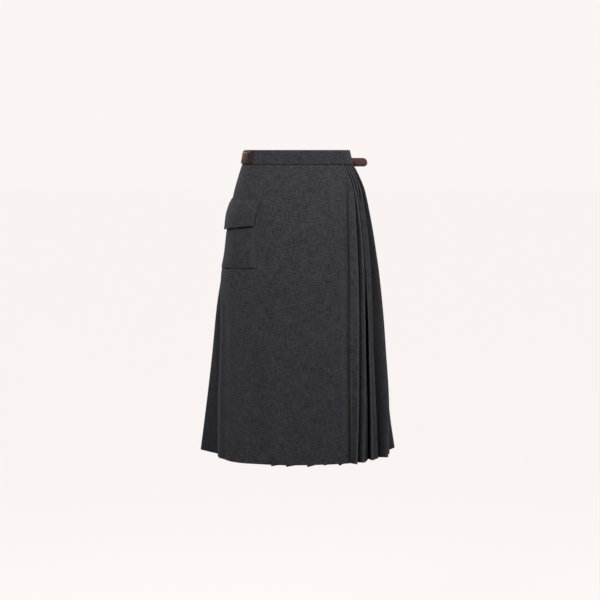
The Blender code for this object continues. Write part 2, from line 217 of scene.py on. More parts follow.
def smooth_table(x, xs, ys):
    """Smooth curve through a table's values, read at x."""
    i = 0
    while i < len(xs) - 2 and x > xs[i + 1]:
        i += 1
    h = xs[i + 1] - xs[i]
    t = min(max((x - xs[i]) / h, 0.0), 1.0)

    def slope(k):
        a = max(k - 1, 0)
        b = min(k + 1, len(xs) - 1)
        return (ys[b] - ys[a]) / (xs[b] - xs[a])

    return ((2 * t ** 3 - 3 * t ** 2 + 1) * ys[i]
            + (t ** 3 - 2 * t ** 2 + t) * h * slope(i)
            + (3 * t ** 2 - 2 * t ** 3) * ys[i + 1]
            + (t ** 3 - t ** 2) * h * slope(i + 1))


@lru_cache(maxsize=None)
def level(z):
    """Row of LEVELS at height z, between the given rows too."""
    down = [row.down for row in LEVELS]
    x = -z / MM
    columns = zip(*LEVELS)
    return Level(*(smooth_table(x, down, column) for column in columns))


def ease(x):
    """0 to 1 with a soft start and end."""
    x = min(max(x, 0.0), 1.0)
    return x * x * (3 - 2 * x)


def mix(a, b, t):
    return a + (b - a) * t


def between(a, b, t):
    """Place in plan between a and b."""
    return (mix(a[0], b[0], t), mix(a[1], b[1], t))


def running(points):
    """Distances along a line of points, from its first one."""
    run = [0.0]
    for a, b in zip(points, points[1:]):
        run.append(run[-1] + math.dist(a, b))
    return run


def spread(z):
    """How far the pleats have opened: 0 at the waistband, 1 at the hem."""
    return min(max((TOP - z) / (TOP - HEM), 0.0), 1.0) ** OPENING


def wander(*place):
    """Smooth unevenness from about -1 to 1."""
    return noise.noise(Vector(place)) * 1.6


def outline(z, turn, lift=0.0):
    """Point of the skirt's outline at height z, moved out by lift."""
    row = level(z)
    c = math.cos(math.radians(turn))
    s = math.sin(math.radians(turn))
    a = (row.right if c >= 0 else row.left) * MM
    b = (row.back if s >= 0 else row.front) * MM
    x = math.copysign(a * abs(c) ** (2 / OVAL), c)
    y = math.copysign(b * abs(s) ** (2 / OVAL), s)
    nx = math.copysign(abs(c) ** (2 - 2 / OVAL) / a, c)
    ny = math.copysign(abs(s) ** (2 - 2 / OVAL) / b, s)
    n = math.hypot(nx, ny)
    return (x + lift * nx / n, y + lift * ny / n)


def toward(a, b):
    """Unit direction from a to b in plan."""
    dx = b[0] - a[0]
    dy = b[1] - a[1]
    n = math.hypot(dx, dy)
    return (dx / n, dy / n)


def apron_fall(z, turn):
    """How far the left part of the apron hangs in from the outline."""
    row = level(z)
    part = max((FALL_FROM - turn) / (FALL_FROM - row.edge_left), 0.0)
    return row.fall * MM * part ** FALL_POWER


def apron_point(z, across, lift=0.0):
    """Point of the apron: across runs from 0 at its left edge to 1 at its right edge."""
    row = level(z)
    turn = mix(row.edge_left, row.edge_right, across)
    return outline(z, turn, lift - apron_fall(z, turn))


@lru_cache(maxsize=None)
def apron_width(z):
    return running([apron_point(z, k / 40) for k in range(41)])[-1]


def apron_relief(z, across):
    """Height of the apron's creases at one place."""
    down = -z / MM
    total = 0.0
    for crease in APRON_CREASES:
        along = (down - crease.top) / (crease.bottom - crease.top)
        if not 0.0 < along < CREASE_PAST + 0.05:
            continue
        middle = crease.across + crease.drift * along
        off = (across - middle) * apron_width(z) / (crease.width * MM)
        strength = ease(along * CREASE_GROWS) * ease((CREASE_PAST - along) * CREASE_FADES)
        total += crease.depth * MM * strength * math.exp(-off * off)
    dart = smooth_table(down, DART_DOWN, DART_ACROSS)
    off = (across - dart) * apron_width(z) / (DART_WIDTH * MM)
    total -= DART_DEPTH * MM * math.exp(-off * off) * ease((DART_END - down) / 30)
    below = (down - DART_END) / DIMPLE_WIDTH
    if DIMPLE_FROM < across < dart:
        total -= DIMPLE_DEPTH * MM * math.exp(-below * below) * ease((across - DIMPLE_FROM) * 20)
    return total + APRON_UNEVEN * MM * wander(across * 5, z * 9, 3.1)


def under_lift(z, turn):
    """Lift of the layer that passes below the apron's left edge."""
    edge = 360 + level(z).edge_left
    covered = ease((turn - (edge - COVER_FROM)) / COVER_OVER)
    return covered * (UNDER - apron_fall(z, turn - 360))


def plain_point(z, turn):
    """Point of the plain side: on the outline at the back, drawn straight below the apron."""
    x, y = outline(z, turn, under_lift(z, turn))
    if turn <= DRAW_FROM:
        return (x, y)
    start = outline(z, DRAW_FROM, under_lift(z, DRAW_FROM))
    end = outline(z, SEAM_UNDER, under_lift(z, SEAM_UNDER))
    t = (turn - DRAW_FROM) / (SEAM_UNDER - DRAW_FROM)
    return between((x, y), between(start, end, t), level(z).draw)


def seam_turn(z, turn):
    """Half the seam gap as degrees of turn at one place."""
    degree = math.dist(outline(z, turn - 0.5), outline(z, turn + 0.5))
    return GAP * 0.6 / degree


def pleat_turns(pleat, z):
    return smooth_table(-z / MM, PLEAT_DOWN, pleat[:6])


def side_fold(index, z):
    """Crest turn, crest lift, valley turn and valley lift of one side pleat at height z."""
    pleat = SIDE_PLEATS[index]
    open_ = spread(z)
    turn = pleat_turns(pleat, z)
    before = pleat_turns(SIDE_PLEATS[index - 1], z) if index else level(z).edge_right
    tuck = mix(TUCK_TOP * (turn - before), pleat.tuck, open_)
    crest = mix(CREST_TOP, pleat.crest, open_) * MM
    valley = mix(VALLEY_TOP, pleat.valley, open_) * MM
    if index == len(SIDE_PLEATS) - 1:
        crest += sum(out * MM * math.exp(-((z - at) / SWAY_HEIGHT) ** 2) for at, out in SWAY)
    if index == SHALLOW - 1:
        over = ease((OVER_FROM - z) / (OVER_FROM - OVER_TO))
        tuck = mix(TUCK_TOP * (turn - before), pleat.tuck, over)
        valley = mix(VALLEY_TOP, pleat.valley, over) * MM
    if index == SHALLOW:
        soft = ease((SOFT_FROM - z) / (SOFT_FROM - SOFT_TO))
        after = pleat_turns(SIDE_PLEATS[index + 1], z)
        tuck = mix(tuck, SOFT_TUCK * (after - turn), soft)
        crest = mix(crest, mix(SOFT_CREST_TOP, pleat.crest, open_) * MM, soft)
        valley = mix(valley, mix(SOFT_VALLEY_TOP, pleat.valley, open_) * MM, soft)
    return turn, crest, turn - tuck, valley


def back_fold(index, z):
    """The same for one back pleat, each a little uneven."""
    open_ = spread(z)
    first = pleat_turns(SIDE_PLEATS[-1], z)
    step = (BACK_LAST - first) / BACK_PLEATS
    turn = first + step * (index + 1 + BACK_SHIFT * open_ * wander(index * 2.3, z * 4, 8.8))
    crest = mix(CREST_TOP, BACK_HEM[0] + BACK_STIR * wander(index * 1.9, z * 3, 5.5), open_) * MM
    valley = mix(VALLEY_TOP, BACK_HEM[1], open_) * MM
    return turn, crest, turn - TUCK_TOP * step, valley


def pleat_seam(z, side):
    """The seam inside the last side pleat: side is -1 before the gap and 1 after it."""
    start = outline(z, *side_fold(len(SIDE_PLEATS) - 1, z)[2:])
    end = outline(z, *back_fold(0, z)[:2])
    return between(start, end, (PLEAT_SEAM + side * GAP / 2) / math.dist(start, end))


def folds_at(fold, count, z):
    """Stations at the crests and valleys of so many pleats."""
    points = []
    for index in range(count):
        turn, crest, valley_turn, valley = fold(index, z)
        points.append((*outline(z, turn, crest), True, crest))
        points.append((*outline(z, valley_turn, valley), True, valley))
    return points


def side_stations(z):
    """Folds of the side pleats, from the apron's right edge to the seam in the last pleat.

    A station is its place in plan, whether the cloth is folded there, and the lift that its
    painted fold shade is reckoned from."""
    edge = level(z).edge_right
    turn, crest, _, _ = side_fold(0, z)
    start = outline(z, edge + 0.1, SIDE_START)
    end = outline(z, turn, crest)
    # painted fold shade beside the apron's edge, as for cloth this far below the first crest
    shaded = crest - SHADED * DEEP
    points = [(*outline(z, edge - UNDER_EDGE, SIDE_START), False, shaded), (*start, False, shaded)]
    points.append((*between(start, end, BESIDE), False, crest))
    points += folds_at(side_fold, len(SIDE_PLEATS), z)
    points.append((*pleat_seam(z, -1), False, points[-1][3]))
    return points


def back_stations(z):
    """Folds of the back pleats, from the seam in the last side pleat to the left back seam."""
    points = [(*pleat_seam(z, 1), False, side_fold(len(SIDE_PLEATS) - 1, z)[3])]
    points += folds_at(back_fold, BACK_PLEATS, z)
    last = SEAM_BACK - seam_turn(z, SEAM_BACK)
    points.append((*outline(z, last - 2.5), False, 0.0))
    points.append((*outline(z, last), False, 0.0))
    return points


def under_stations(z):
    """Folds of the under apron, whose crests point to the left, just behind the apron."""
    open_ = spread(z)
    depth = mix(*UNDER_DEPTH, open_) * MM
    tuck = mix(*UNDER_TUCK, open_)
    start = SEAM_UNDER - 360 + seam_turn(z, SEAM_UNDER)
    lift = under_lift(z, SEAM_UNDER)
    points = [(*outline(z, start, lift), False), (*outline(z, start + 0.8, lift), False)]
    for turn in UNDER_PLEATS:
        crest = UNDER - UNDER_FOLD - apron_fall(z, turn)
        points.append((*outline(z, turn + tuck, crest - depth), True))
        points.append((*outline(z, turn, crest), True))
    points.append((*outline(z, UNDER_END, crest - depth / 2), False))
    return points


def under_hem_share(steps):
    """How far each column of the under apron is raised at its hem, in metres."""
    raised = [UNDER_SLOPE] * (2 * steps)
    for tip in UNDER_TIPS:
        raised += [UNDER_SLOPE] * BEND_POINTS
        raised += [mix(UNDER_SLOPE, tip, i / steps) for i in range(1, steps)]
        raised += [tip] * BEND_POINTS
        raised += [mix(tip, UNDER_SLOPE, i / steps) for i in range(1, steps)]
    return [value * MM for value in [*raised, UNDER_SLOPE]]


def wrap_lift(turn):
    """Lift of the waistband where it goes on beneath itself."""
    return UNDER * ease((turn - WRAP_FROM) / WRAP_OVER)


def band_point(z, turn, lift=0.0):
    """Point of the waistband, which is straight from its top edge to its bottom edge."""
    lift += wrap_lift(turn)
    upper = outline(0.0, turn, lift)
    lower = outline(-BAND_HEIGHT, turn, lift)
    return between(upper, lower, min(-z / BAND_HEIGHT, 1.0))


# ---- plan lines with rounded folds ---------------------------------------------------

BEND_STEPS = 3           # a fold has twice this many stretches
BEND_POINTS = 2 * BEND_STEPS + 1
LEAST_BEND = 0.12        # radians that the flattest fold still turns through, each way
DEEP = 12 * MM           # a valley this far below its crest gets the full painted fold shade
TIGHT_AT = (0.0, 0.33, 0.55, 1.0)    # how far the pleats have opened
TIGHT = (12.0, 2.0, 1.6, 2.8)        # and how far the painted fold shade reaches towards the crests there


def bend(stations, k, radius):
    """A fold as an arc through its station, tangent to the two faces that meet there."""
    at = stations[k][:2]
    before = toward(at, stations[k - 1])
    after = toward(at, stations[k + 1])
    bx = before[0] + after[0]
    by = before[1] + after[1]
    n = math.hypot(bx, by)
    inward = (bx / n, by / n) if n > 0.01 else (-before[1], before[0])
    cross = (-inward[1], inward[0])
    if before[0] * cross[0] + before[1] * cross[1] < 0:
        cross = (inward[1], -inward[0])
    half = math.acos(min(before[0] * inward[0] + before[1] * inward[1], 1.0))
    sweep = max(math.pi / 2 - half, LEAST_BEND)
    middle = (at[0] + inward[0] * radius, at[1] + inward[1] * radius)
    line = []
    for i in range(-BEND_STEPS, BEND_STEPS + 1):
        angle = -sweep * i / BEND_STEPS
        out = math.cos(angle) * radius
        along = math.sin(angle) * radius
        line.append((middle[0] - inward[0] * out + cross[0] * along,
                     middle[1] - inward[1] * out + cross[1] * along))
    return line


def pleated(stations, z, radius, steps, bow, seed):
    """Plan line through the stations, with its folds rounded and its faces a little bowed."""
    stretches = [bend(stations, k, radius) if s[2] else [s[:2]] for k, s in enumerate(stations)]
    line = list(stretches[0])
    for k in range(1, len(stretches)):
        a = stretches[k - 1][-1]
        b = stretches[k][0]
        dx, dy = toward(a, b)
        depth = bow * spread(z) * (0.35 + wander(k * 1.7, z * 4.5, seed))
        for i in range(1, steps):
            t = i / steps
            out = depth * 4 * t * (1 - t)
            line.append((mix(a[0], b[0], t) + dy * out, mix(a[1], b[1], t) - dx * out))
        line += stretches[k]
    return line


def fold_shade_share(stations, steps, z):
    """How deep each point of a pleated row lies in its fold, for its painted fold shade: 0 on a
    crest, 1 in a deep valley.

    Near the waistband the folds are tight, and the painted shade reaches almost up to their crests."""
    lifts = [station[3] for station in stations]
    tight = smooth_table(spread(z), TIGHT_AT, TIGHT)
    deep = [ease((max(lifts[max(k - 1, 0):k + 2]) - lift) / DEEP) for k, lift in enumerate(lifts)]
    line = [deep[0]] * (BEND_POINTS if stations[0][2] else 1)
    for k in range(1, len(stations)):
        rising = deep[k] < deep[k - 1]
        for i in range(1, steps):
            t = (i / steps) ** tight if rising else 1 - (1 - i / steps) ** tight
            line.append(mix(deep[k - 1], deep[k], t))
        line += [deep[k]] * (BEND_POINTS if stations[k][2] else 1)
    return line


def fold_shade_rows(rows, stations, steps):
    """The painted fold shade, 0 to 1, of each point of a pleated panel."""
    heights = [min(row[0][2], TOP - PLUMB) for row in rows]
    return [fold_shade_share(stations(z), steps, z) for z in heights]


# ---- meshes --------------------------------------------------------------------------

NEAR_BAND = (31.0, 32.5, 33.8, 34.8, 35.8, 37.0, 38.6, 40.6, 43.0, 46.0)     # mm down
NEAR_HEM = (5.0, 2.6, 1.2, 0.4, 0.0)                                         # mm above the hem


def row_heights(hem, step, extra=()):
    """Row heights from inside the waistband to the hem, close together at both ends."""
    near = [-down * MM for down in NEAR_BAND]
    count = max(int((near[-1] - hem) / step), 2)
    even = [mix(near[-1], hem + NEAR_HEM[0] * MM, k / count) for k in range(1, count + 1)]
    end = [hem + up * MM for up in NEAR_HEM[1:]]
    return sorted({*near, *even, *end, *extra}, reverse=True)


HELD = -0.75 * MM        # lift of the panels between the waistband's two layers
HELD_FLAT = -31 * MM     # the pleats are flat at this height, where the cloth ends in the band
SEAM_SOFT = 9 * MM       # the panels come out to their full form in this height
HELD_FOLDS = 0.2         # share of their depth that the folds keep in the band
TURNED_SOFT = 3 * MM     # a turned edge thins out over this distance
WORN_HIGHLIT_BEND = 0.4          # cloth bent by this much from point to point gets the most wear and painted highlight


def in_band(z, x, y, first):
    """Where a point of the hanging cloth is held, flattened between the waistband's layers."""
    row = level(TOP - PLUMB)
    u = (abs(x) / ((row.right if x >= 0 else row.left) * MM)) ** OVAL
    v = (abs(y) / ((row.back if y >= 0 else row.front) * MM)) ** OVAL
    turn = math.degrees(math.atan2(math.copysign(math.sqrt(v), y), math.copysign(math.sqrt(u), x)))
    while turn < first:
        turn += 360
    stands = (1 - (u + v) ** (-1 / OVAL)) * math.hypot(x, y) - wrap_lift(turn)
    folds = HELD_FOLDS * ease((HELD_FLAT - z) / (3 * MM))
    return band_point(z, turn, HELD + folds * min(stands - CREST_TOP * MM, 0.0))


def held_at_waist(row, z, first):
    """Plan line of one row, drawn into the waistband where it is near or inside it."""
    free = ease((1.5 * MM - BAND_HEIGHT - z) / SEAM_SOFT)
    if free >= 1.0:
        return row
    return [between(in_band(z, x, y, first), (x, y), free) for x, y in row]


def grid_mesh(name, rows, closed=False):
    """Mesh on a grid of points with a map, in metres, along and down the cloth."""
    bm = bmesh.new()
    layer = bm.loops.layers.uv.new("cloth")
    grid = [[bm.verts.new(point) for point in row] for row in rows]
    columns = len(rows[0])
    half = columns // 2
    along = []
    for row in rows:
        run = running(row)
        along.append([value - run[half] for value in run])
    down = [-value for value in running([row[half] for row in rows])]
    for i in range(len(rows) - 1):
        for k in range(columns if closed else columns - 1):
            n = (k + 1) % columns
            corners = ((i, k), (i + 1, k), (i + 1, n), (i, n))
            face = bm.faces.new([grid[r][c] for r, c in corners])
            for loop, (r, c) in zip(face.loops, corners):
                loop[layer].uv = (along[r][c], down[r])
    return smooth_mesh(name, bm)


def smooth_mesh(name, bm):
    """Mesh from what was built, with smooth shading."""
    mesh = bpy.data.meshes.new(name)
    bm.to_mesh(mesh)
    bm.free()
    mesh.shade_smooth()
    return mesh


def place(mesh, mat, slot, node_name=None):
    """Object for a finished mesh: it rides on the skirt and stands for its frame piece."""
    mesh.materials.append(mat)
    obj = bpy.data.objects.new(mesh.name, mesh)
    bpy.context.scene.collection.objects.link(obj)
    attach(obj, "root")
    if node_name:
        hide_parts(node_name)
    return obj


def cloth_sheet(node_name, rows, cloth, thick=()):
    """Cloth shell on rows of points, of a material; its slot is not used.  thick gives the share,
    0 to 1, of doubled cloth at each point, so that turned edges and hems stand out."""
    sizes = bpy.context.scene.skirt_sizes
    obj = place(grid_mesh(node_name + "_cloth", rows), *cloth, node_name)
    shell = obj.modifiers.new("Thickness", "SOLIDIFY")
    shell.offset = 0.0
    shell.use_even_offset = False
    shell.thickness = sizes.cloth
    if thick:
        group = obj.vertex_groups.new(name="doubled")
        for index, share in enumerate(value for row in thick for value in row):
            group.add([index], share, "REPLACE")
        shell.thickness = sizes.doubled
        shell.vertex_group = "doubled"
        shell.thickness_vertex_group = sizes.cloth / sizes.doubled
    return obj


def wall_rows(path, hem, first, extra=()):
    """Rows of points for a panel that hangs from the waistband.  path gives its plan line at
    a height, and first is a turn just before the panel's own."""
    rows = []
    for z in row_heights(hem, bpy.context.scene.skirt_sizes.row_step, extra):
        line = held_at_waist(path(min(z, TOP - PLUMB)), z, first)
        rows.append([(x, y, z) for x, y in line])
    return rows


def doubled_edges(rows, sides, hem):
    """Shares of doubled cloth: 1 within sides of the side edges, if they are turned, and within
    hem of the hem."""
    shares = []
    low = rows[-1][0][2]
    for row in rows:
        run = running(row)
        up = ease((hem - (row[0][2] - low)) / TURNED_SOFT + 0.5)
        line = []
        for value in run:
            edge = min(value, run[-1] - value)
            near = ease((sides - edge) / TURNED_SOFT + 0.5) if sides else 0.0
            line.append(max(up, near))
        shares.append(line)
    return shares


def pressed_highlight_share(rows):
    """How sharply the cloth is bent outwards at each point, 0 to 1, with free edges at 1, for its
    wear and painted highlight.
    """
    shares = []
    for i, row in enumerate(rows):
        line = []
        for k, point in enumerate(row):
            if k in (0, len(row) - 1) or i == len(rows) - 1:
                line.append(1.0)
                continue
            before = toward(row[k - 1], point)
            after = toward(point, row[k + 1])
            turned = before[0] * after[1] - before[1] * after[0]
            line.append(min(max(turned / WORN_HIGHLIT_BEND, 0.0), 1.0))
        shares.append(line)
    return shares


def store(mesh, name, rows):
    """Keeps one number for each point of the mesh, for its material to read."""
    values = [value for row in rows for value in row]
    mesh.attributes.new(name, "FLOAT", "POINT").data.foreach_set("value", values)


def stand_out(mesh, distance):
    """Moves a surface out along its normals, from the cloth's middle to its outer face."""
    moved = [v.co + v.normal * distance for v in mesh.vertices]
    for vertex, at in zip(mesh.vertices, moved):
        vertex.co = at


# ---- materials -----------------------------------------------------------------------

def join(tree, value, socket):
    """Gives a socket its value, or links it to another node's output."""
    if isinstance(value, bpy.types.NodeSocket):
        tree.links.new(value, socket)
    else:
        socket.default_value = value


def feed(tree, made, **inputs):
    """Sets a node's inputs by their names."""
    for name, value in inputs.items():
        join(tree, value, made.inputs[name.replace("_", " ")])


def node(tree, kind, **inputs):
    """New shader node; each input is a value, or an output of another node."""
    made = tree.nodes.new("ShaderNode" + kind)
    feed(tree, made, **inputs)
    return made


def sums(tree, operation, *values):
    """Math node on values or outputs."""
    made = tree.nodes.new("ShaderNodeMath")
    made.operation = operation
    for socket, value in zip(made.inputs, values):
        join(tree, value, socket)
    return made.outputs[0]


def weighted(tree, values, weights):
    """Sum of outputs, each times its weight."""
    first, *others = [sums(tree, "MULTIPLY", *part) for part in zip(values, weights, strict=True)]
    for other in others:
        first = sums(tree, "ADD", first, other)
    return first


def blended(tree, share, first, second):
    """Colour between two colours, each a value or an output."""
    made = tree.nodes.new("ShaderNodeMix")
    made.data_type = "RGBA"
    for index, value in ((0, share), (6, first), (7, second)):
        join(tree, value, made.inputs[index])
    return made.outputs[2]


def ranged(tree, value, low, high, to_low=0.0, to_high=1.0):
    """Value carried from one range to another, and held inside it."""
    made = node(tree, "MapRange", Value=value)
    for index, number in enumerate((low, high, to_low, to_high), start=1):
        made.inputs[index].default_value = number
    return made.outputs[0]


def grain(tree, at, scale, detail=2.0):
    """Fine cloudy pattern, about so many spots to the metre."""
    return node(tree, "TexNoise", Vector=at, Scale=scale, Detail=detail, Roughness=0.6).outputs[0]


def stretched(tree, at, across, down):
    """Place on the cloth, scaled by one number across and by another down."""
    made = tree.nodes.new("ShaderNodeVectorMath")
    made.operation = "MULTIPLY"
    tree.links.new(at, made.inputs[0])
    made.inputs[1].default_value = (across, down, 1.0)
    return made.outputs[0]


def marked(tree, name):
    """Number that the piece keeps at each of its points."""
    made = tree.nodes.new("ShaderNodeAttribute")
    made.attribute_name = name
    return made.outputs["Fac"]


def bumped(tree, height, distance, strength):
    return node(tree, "Bump", Height=height, Distance=distance, Strength=strength).outputs[0]


def tone(colour, share):
    return (*(min(channel * share, 1.0) for channel in colour), 1.0)


def mottled(tree, pattern, low, high, colour, darkest, lightest):
    """Colour that goes from a darker to a lighter tone as the pattern goes from low to high."""
    return blended(tree, ranged(tree, pattern, low, high), tone(colour, darkest), tone(colour, lightest))


def new_material(name, colour):
    """Material with its shader, and the position on the piece in metres."""
    mat = bpy.data.materials.new(name)
    mat.use_nodes = True
    mat.diffuse_color = (*colour, 1.0)
    tree = mat.node_tree
    shader = tree.nodes["Principled BSDF"]
    position = node(tree, "TexCoord").outputs["Object"]
    return mat, tree, shader, position


FIBRE = 900.0            # sizes of the wool's patterns, in spots to the metre
MELANGE = 360.0
CLOUD = 30.0
SLUB = (50.0, 420.0)     # along and across a thick place in the yarn
TONE_PARTS = (0.14, 0.30, 0.25, 0.25, 0.06)      # fibre, melange, slubs both ways, cloud
TONE_RANGE = (0.41, 0.59)
RELIEF_PARTS = (0.30, 1.2, 1.4)                  # weave, fibre, melange
PAINTED_SHADE_TONE = 0.1             # tone of the painted shade deepest in a fold, and darkest on the tab


def wool(name, colour, light):
    """Matt melange wool: a plain weave, mixed dark and light fibres, wear and a painted highlight
    on pressed edges, and painted shade deep in the folds.
    """
    if name in bpy.data.materials:
        return bpy.data.materials[name]
    look = bpy.context.scene.skirt_look
    mat, tree, shader, position = new_material(name, colour)
    uv = node(tree, "UVMap")
    uv.uv_map = "cloth"
    flat = uv.outputs[0]
    on_cloth = node(tree, "SeparateXYZ", Vector=flat)
    turns = 2 * math.pi / look.yarn
    warp = sums(tree, "SINE", sums(tree, "MULTIPLY", on_cloth.outputs[0], turns))
    weft = sums(tree, "SINE", sums(tree, "MULTIPLY", on_cloth.outputs[1], turns))
    weave = sums(tree, "MULTIPLY", warp, weft)
    fibre = grain(tree, position, FIBRE)
    melange = grain(tree, position, MELANGE, 3.0)
    cloud = grain(tree, position, CLOUD)
    slub_across = grain(tree, stretched(tree, flat, *SLUB), 1.0)
    slub_down = grain(tree, stretched(tree, flat, *SLUB[::-1]), 1.0)
    mixed = weighted(tree, (fibre, melange, slub_across, slub_down, cloud), TONE_PARTS)
    body = mottled(tree, mixed, *TONE_RANGE, colour, 1 - look.melange, 1 + look.melange)
    # wear and a painted highlight lighten the sharply bent and free edges
    edge = sums(tree, "MULTIPLY", marked(tree, "pressed"), look.edge_wear_and_highlight)
    body = blended(tree, edge, body, (*light, 1.0))
    # painted shade darkens the cloth deep in the folds and along the apron's right edge
    deep = sums(tree, "MULTIPLY", marked(tree, "folded"), look.painted_fold_shade)
    body = blended(tree, deep, body, tone(colour, PAINTED_SHADE_TONE))
    raised = weighted(tree, (weave, fibre, melange), RELIEF_PARTS)
    feed(tree, shader, Base_Color=body, Roughness=ranged(tree, melange, 0.3, 0.7, 0.84, 0.98),
         Normal=bumped(tree, raised, 0.35 * MM, 0.7), Specular_IOR_Level=0.06,
         Sheen_Weight=look.sheen, Sheen_Roughness=0.55, Sheen_Tint=(0.75, 0.74, 0.78, 1.0))
    return mat


def main_cloth():
    """Material and slot of the wool that shows."""
    look = bpy.context.scene.skirt_look
    return wool("charcoal_wool_cloth", look.wool, look.wool_wear_highlight), "charcoal_wool"


def under_cloth():
    """Material and slot of the wool beneath the wrap, darker and bluer as painted shade."""
    look = bpy.context.scene.skirt_look
    return wool("charcoal_wool_under_cloth", look.shaded_under_wool, look.under_wear_highlight), "charcoal_wool_under"


def leather_material():
    """Smooth waxed leather: fine pebbled grain, clouded colour, burnished cut edges, and painted
    shade towards the tab's right end.
    """
    name = "waxed_brown_leather"
    if name in bpy.data.materials:
        return bpy.data.materials[name]
    look = bpy.context.scene.skirt_look
    mat, tree, shader, position = new_material(name, look.leather)
    cloud = grain(tree, position, 70.0, 3.0)
    fine = grain(tree, position, 700.0)
    pebble = node(tree, "TexVoronoi", Vector=position, Scale=1100.0)
    body = mottled(tree, cloud, 0.35, 0.65, look.leather, 0.72, 1.25)
    body = blended(tree, ranged(tree, fine, 0.45, 0.80, 0.0, 0.5), body, tone(look.leather, 1.6))
    flesh = marked(tree, "flesh")
    suede = mottled(tree, fine, 0.3, 0.7, look.leather_flesh, 0.82, 1.15)
    body = blended(tree, flesh, body, suede)
    # painted shade: darker towards the tab's right end, which turns away from the light
    body = blended(tree, marked(tree, "handled"), body, tone(look.leather, PAINTED_SHADE_TONE))
    body = blended(tree, marked(tree, "edge"), body, (*look.leather_edge, 1.0))
    smooth = ranged(tree, fine, 0.3, 0.7, 0.46, 0.60)
    matt = sums(tree, "MULTIPLY", flesh, 0.35)
    raised = sums(tree, "ADD", sums(tree, "MULTIPLY", pebble.outputs["Distance"], 0.6), cloud)
    feed(tree, shader, Base_Color=body, Roughness=sums(tree, "ADD", smooth, matt),
         Normal=bumped(tree, raised, 0.2 * MM, 0.5), Specular_IOR_Level=0.1)
    return mat


def thread_material(name, colour):
    """Twisted sewing thread, a little lighter on its raised strands."""
    mat, tree, shader, position = new_material(name, colour)
    strands = grain(tree, position, 2600.0)
    feed(tree, shader, Base_Color=mottled(tree, strands, 0.35, 0.65, colour, 0.7, 1.3),
         Roughness=ranged(tree, strands, 0.3, 0.7, 0.55, 0.75),
         Normal=bumped(tree, strands, 0.1 * MM, 0.6), Specular_IOR_Level=0.3)
    return mat


def floor_material():
    """Seamless pale paper, with a little light of its own so that it meets the backdrop."""
    studio = bpy.context.scene.skirt_studio
    mat, tree, shader, position = new_material("pale_paper", studio.floor)
    cloud = grain(tree, position, 3.0)
    body = blended(tree, cloud, tone(studio.floor, 0.995), tone(studio.floor, 1.0))
    feed(tree, shader, Base_Color=body, Roughness=0.9, Specular_IOR_Level=0.0,
         Emission_Color=(*studio.backdrop, 1.0), Emission_Strength=studio.floor_glow)
    return mat


# ---- cloth pieces --------------------------------------------------------------------

def panel_piece(node_name, rows, cloth, thick):
    """Cloth panel on rows of middle points, with its edges marked for wear and painted highlight."""
    obj = cloth_sheet(node_name, rows, cloth, thick)
    # wear and a painted highlight go on the sharply bent and free edges
    store(obj.data, "pressed", pressed_highlight_share(rows))
    stand_out(obj.data, bpy.context.scene.skirt_sizes.cloth / 2)
    obj.modifiers["Thickness"].offset = -1.0
    return obj


def hung_panel(node_name, rows, cloth, sides=0.0):
    """One panel that hangs from the waistband, hemmed, with its side edges turned in by sides."""
    thick = doubled_edges(rows, sides, bpy.context.scene.skirt_sizes.hem)
    panel = panel_piece(node_name, rows, cloth, thick)
    return panel


def pleated_panel(node_name, stations, steps, bow, seed, first):
    """One panel of knife pleats, its faces bowed by bow and its cloth darkened deep in the folds
    by painted shade.
    """
    fold = bpy.context.scene.skirt_sizes.fold
    rows = wall_rows(lambda z: pleated(stations(z), z, fold, steps, bow, seed), HEM, first)
    panel = hung_panel(node_name, rows, main_cloth())
    # painted shade: the cloth is darkened deep in the folds
    store(panel.data, "folded", fold_shade_rows(rows, stations, steps))


BAND_INSIDE = (29.0, 22.0, 15.0, 8.0, 2.4)      # mm down the band's inner and outer layers
BAND_OUTSIDE = (2.4, 4.5, 8.5, 13.0, 17.5, 22.0, 26.0, 29.5, 31.8, 33.2)
BAND_OVER = 7                                   # rows round its top edge
BAND_STEPS = 276
BAND_CROWN = 0.25 * MM                          # the outer layer is crowned and uneven
BAND_UNEVEN = 0.22 * MM
BAND_WORN_HIGHLIT = 0.8                                 # how much wear and a painted highlight lighten its top edge


def waistband_rows():
    """The band is one strip folded over its top edge: up the inside, over, down the outside."""
    sizes = bpy.context.scene.skirt_sizes
    half = BAND_WALL / 2 - sizes.cloth / 2
    profile = [(-half, -down * MM) for down in BAND_INSIDE]
    for step in range(BAND_OVER):
        angle = math.radians(180 - 30 * step)
        profile.append((half * math.cos(angle), -sizes.cloth / 2 - half + half * math.sin(angle)))
    for down in BAND_OUTSIDE:
        crown = BAND_CROWN * math.sin(math.pi * down / 34)
        profile.append((half + crown, -down * MM))
    profile.append((half - 0.35 * MM, -34.0 * MM))
    turns = [mix(BAND_FROM, BAND_TO, k / BAND_STEPS) for k in range(BAND_STEPS + 1)]
    rows = []
    for lift, z in profile:
        row = []
        for turn in turns:
            uneven = BAND_UNEVEN * wander(turn * 0.11, z * 60, 1.7)
            row.append((*band_point(z, turn, lift + uneven), z))
        rows.append(row)
    return rows


def apron_columns():
    """Places across the apron, close together at its edges and at the dart."""
    near = (0.0, 0.0012, 0.003, 0.0055, 0.009)
    even = [mix(0.015, 0.985, k / 84) for k in range(85)]
    dart = [mix(0.860, 0.912, k / 26) for k in range(27)]
    even = [c for c in even if not dart[0] - 0.004 < c < dart[-1] + 0.004]
    return sorted([*near, *even, *dart, *(1 - c for c in near)])


def apron_rows():
    columns = apron_columns()
    dimple = [-(DART_END + 0.9 * k) * MM for k in range(-4, 5)]
    return wall_rows(lambda z: [apron_point(z, c, apron_relief(z, c)) for c in columns],
                     HEM, BAND_FROM - 5, dimple)


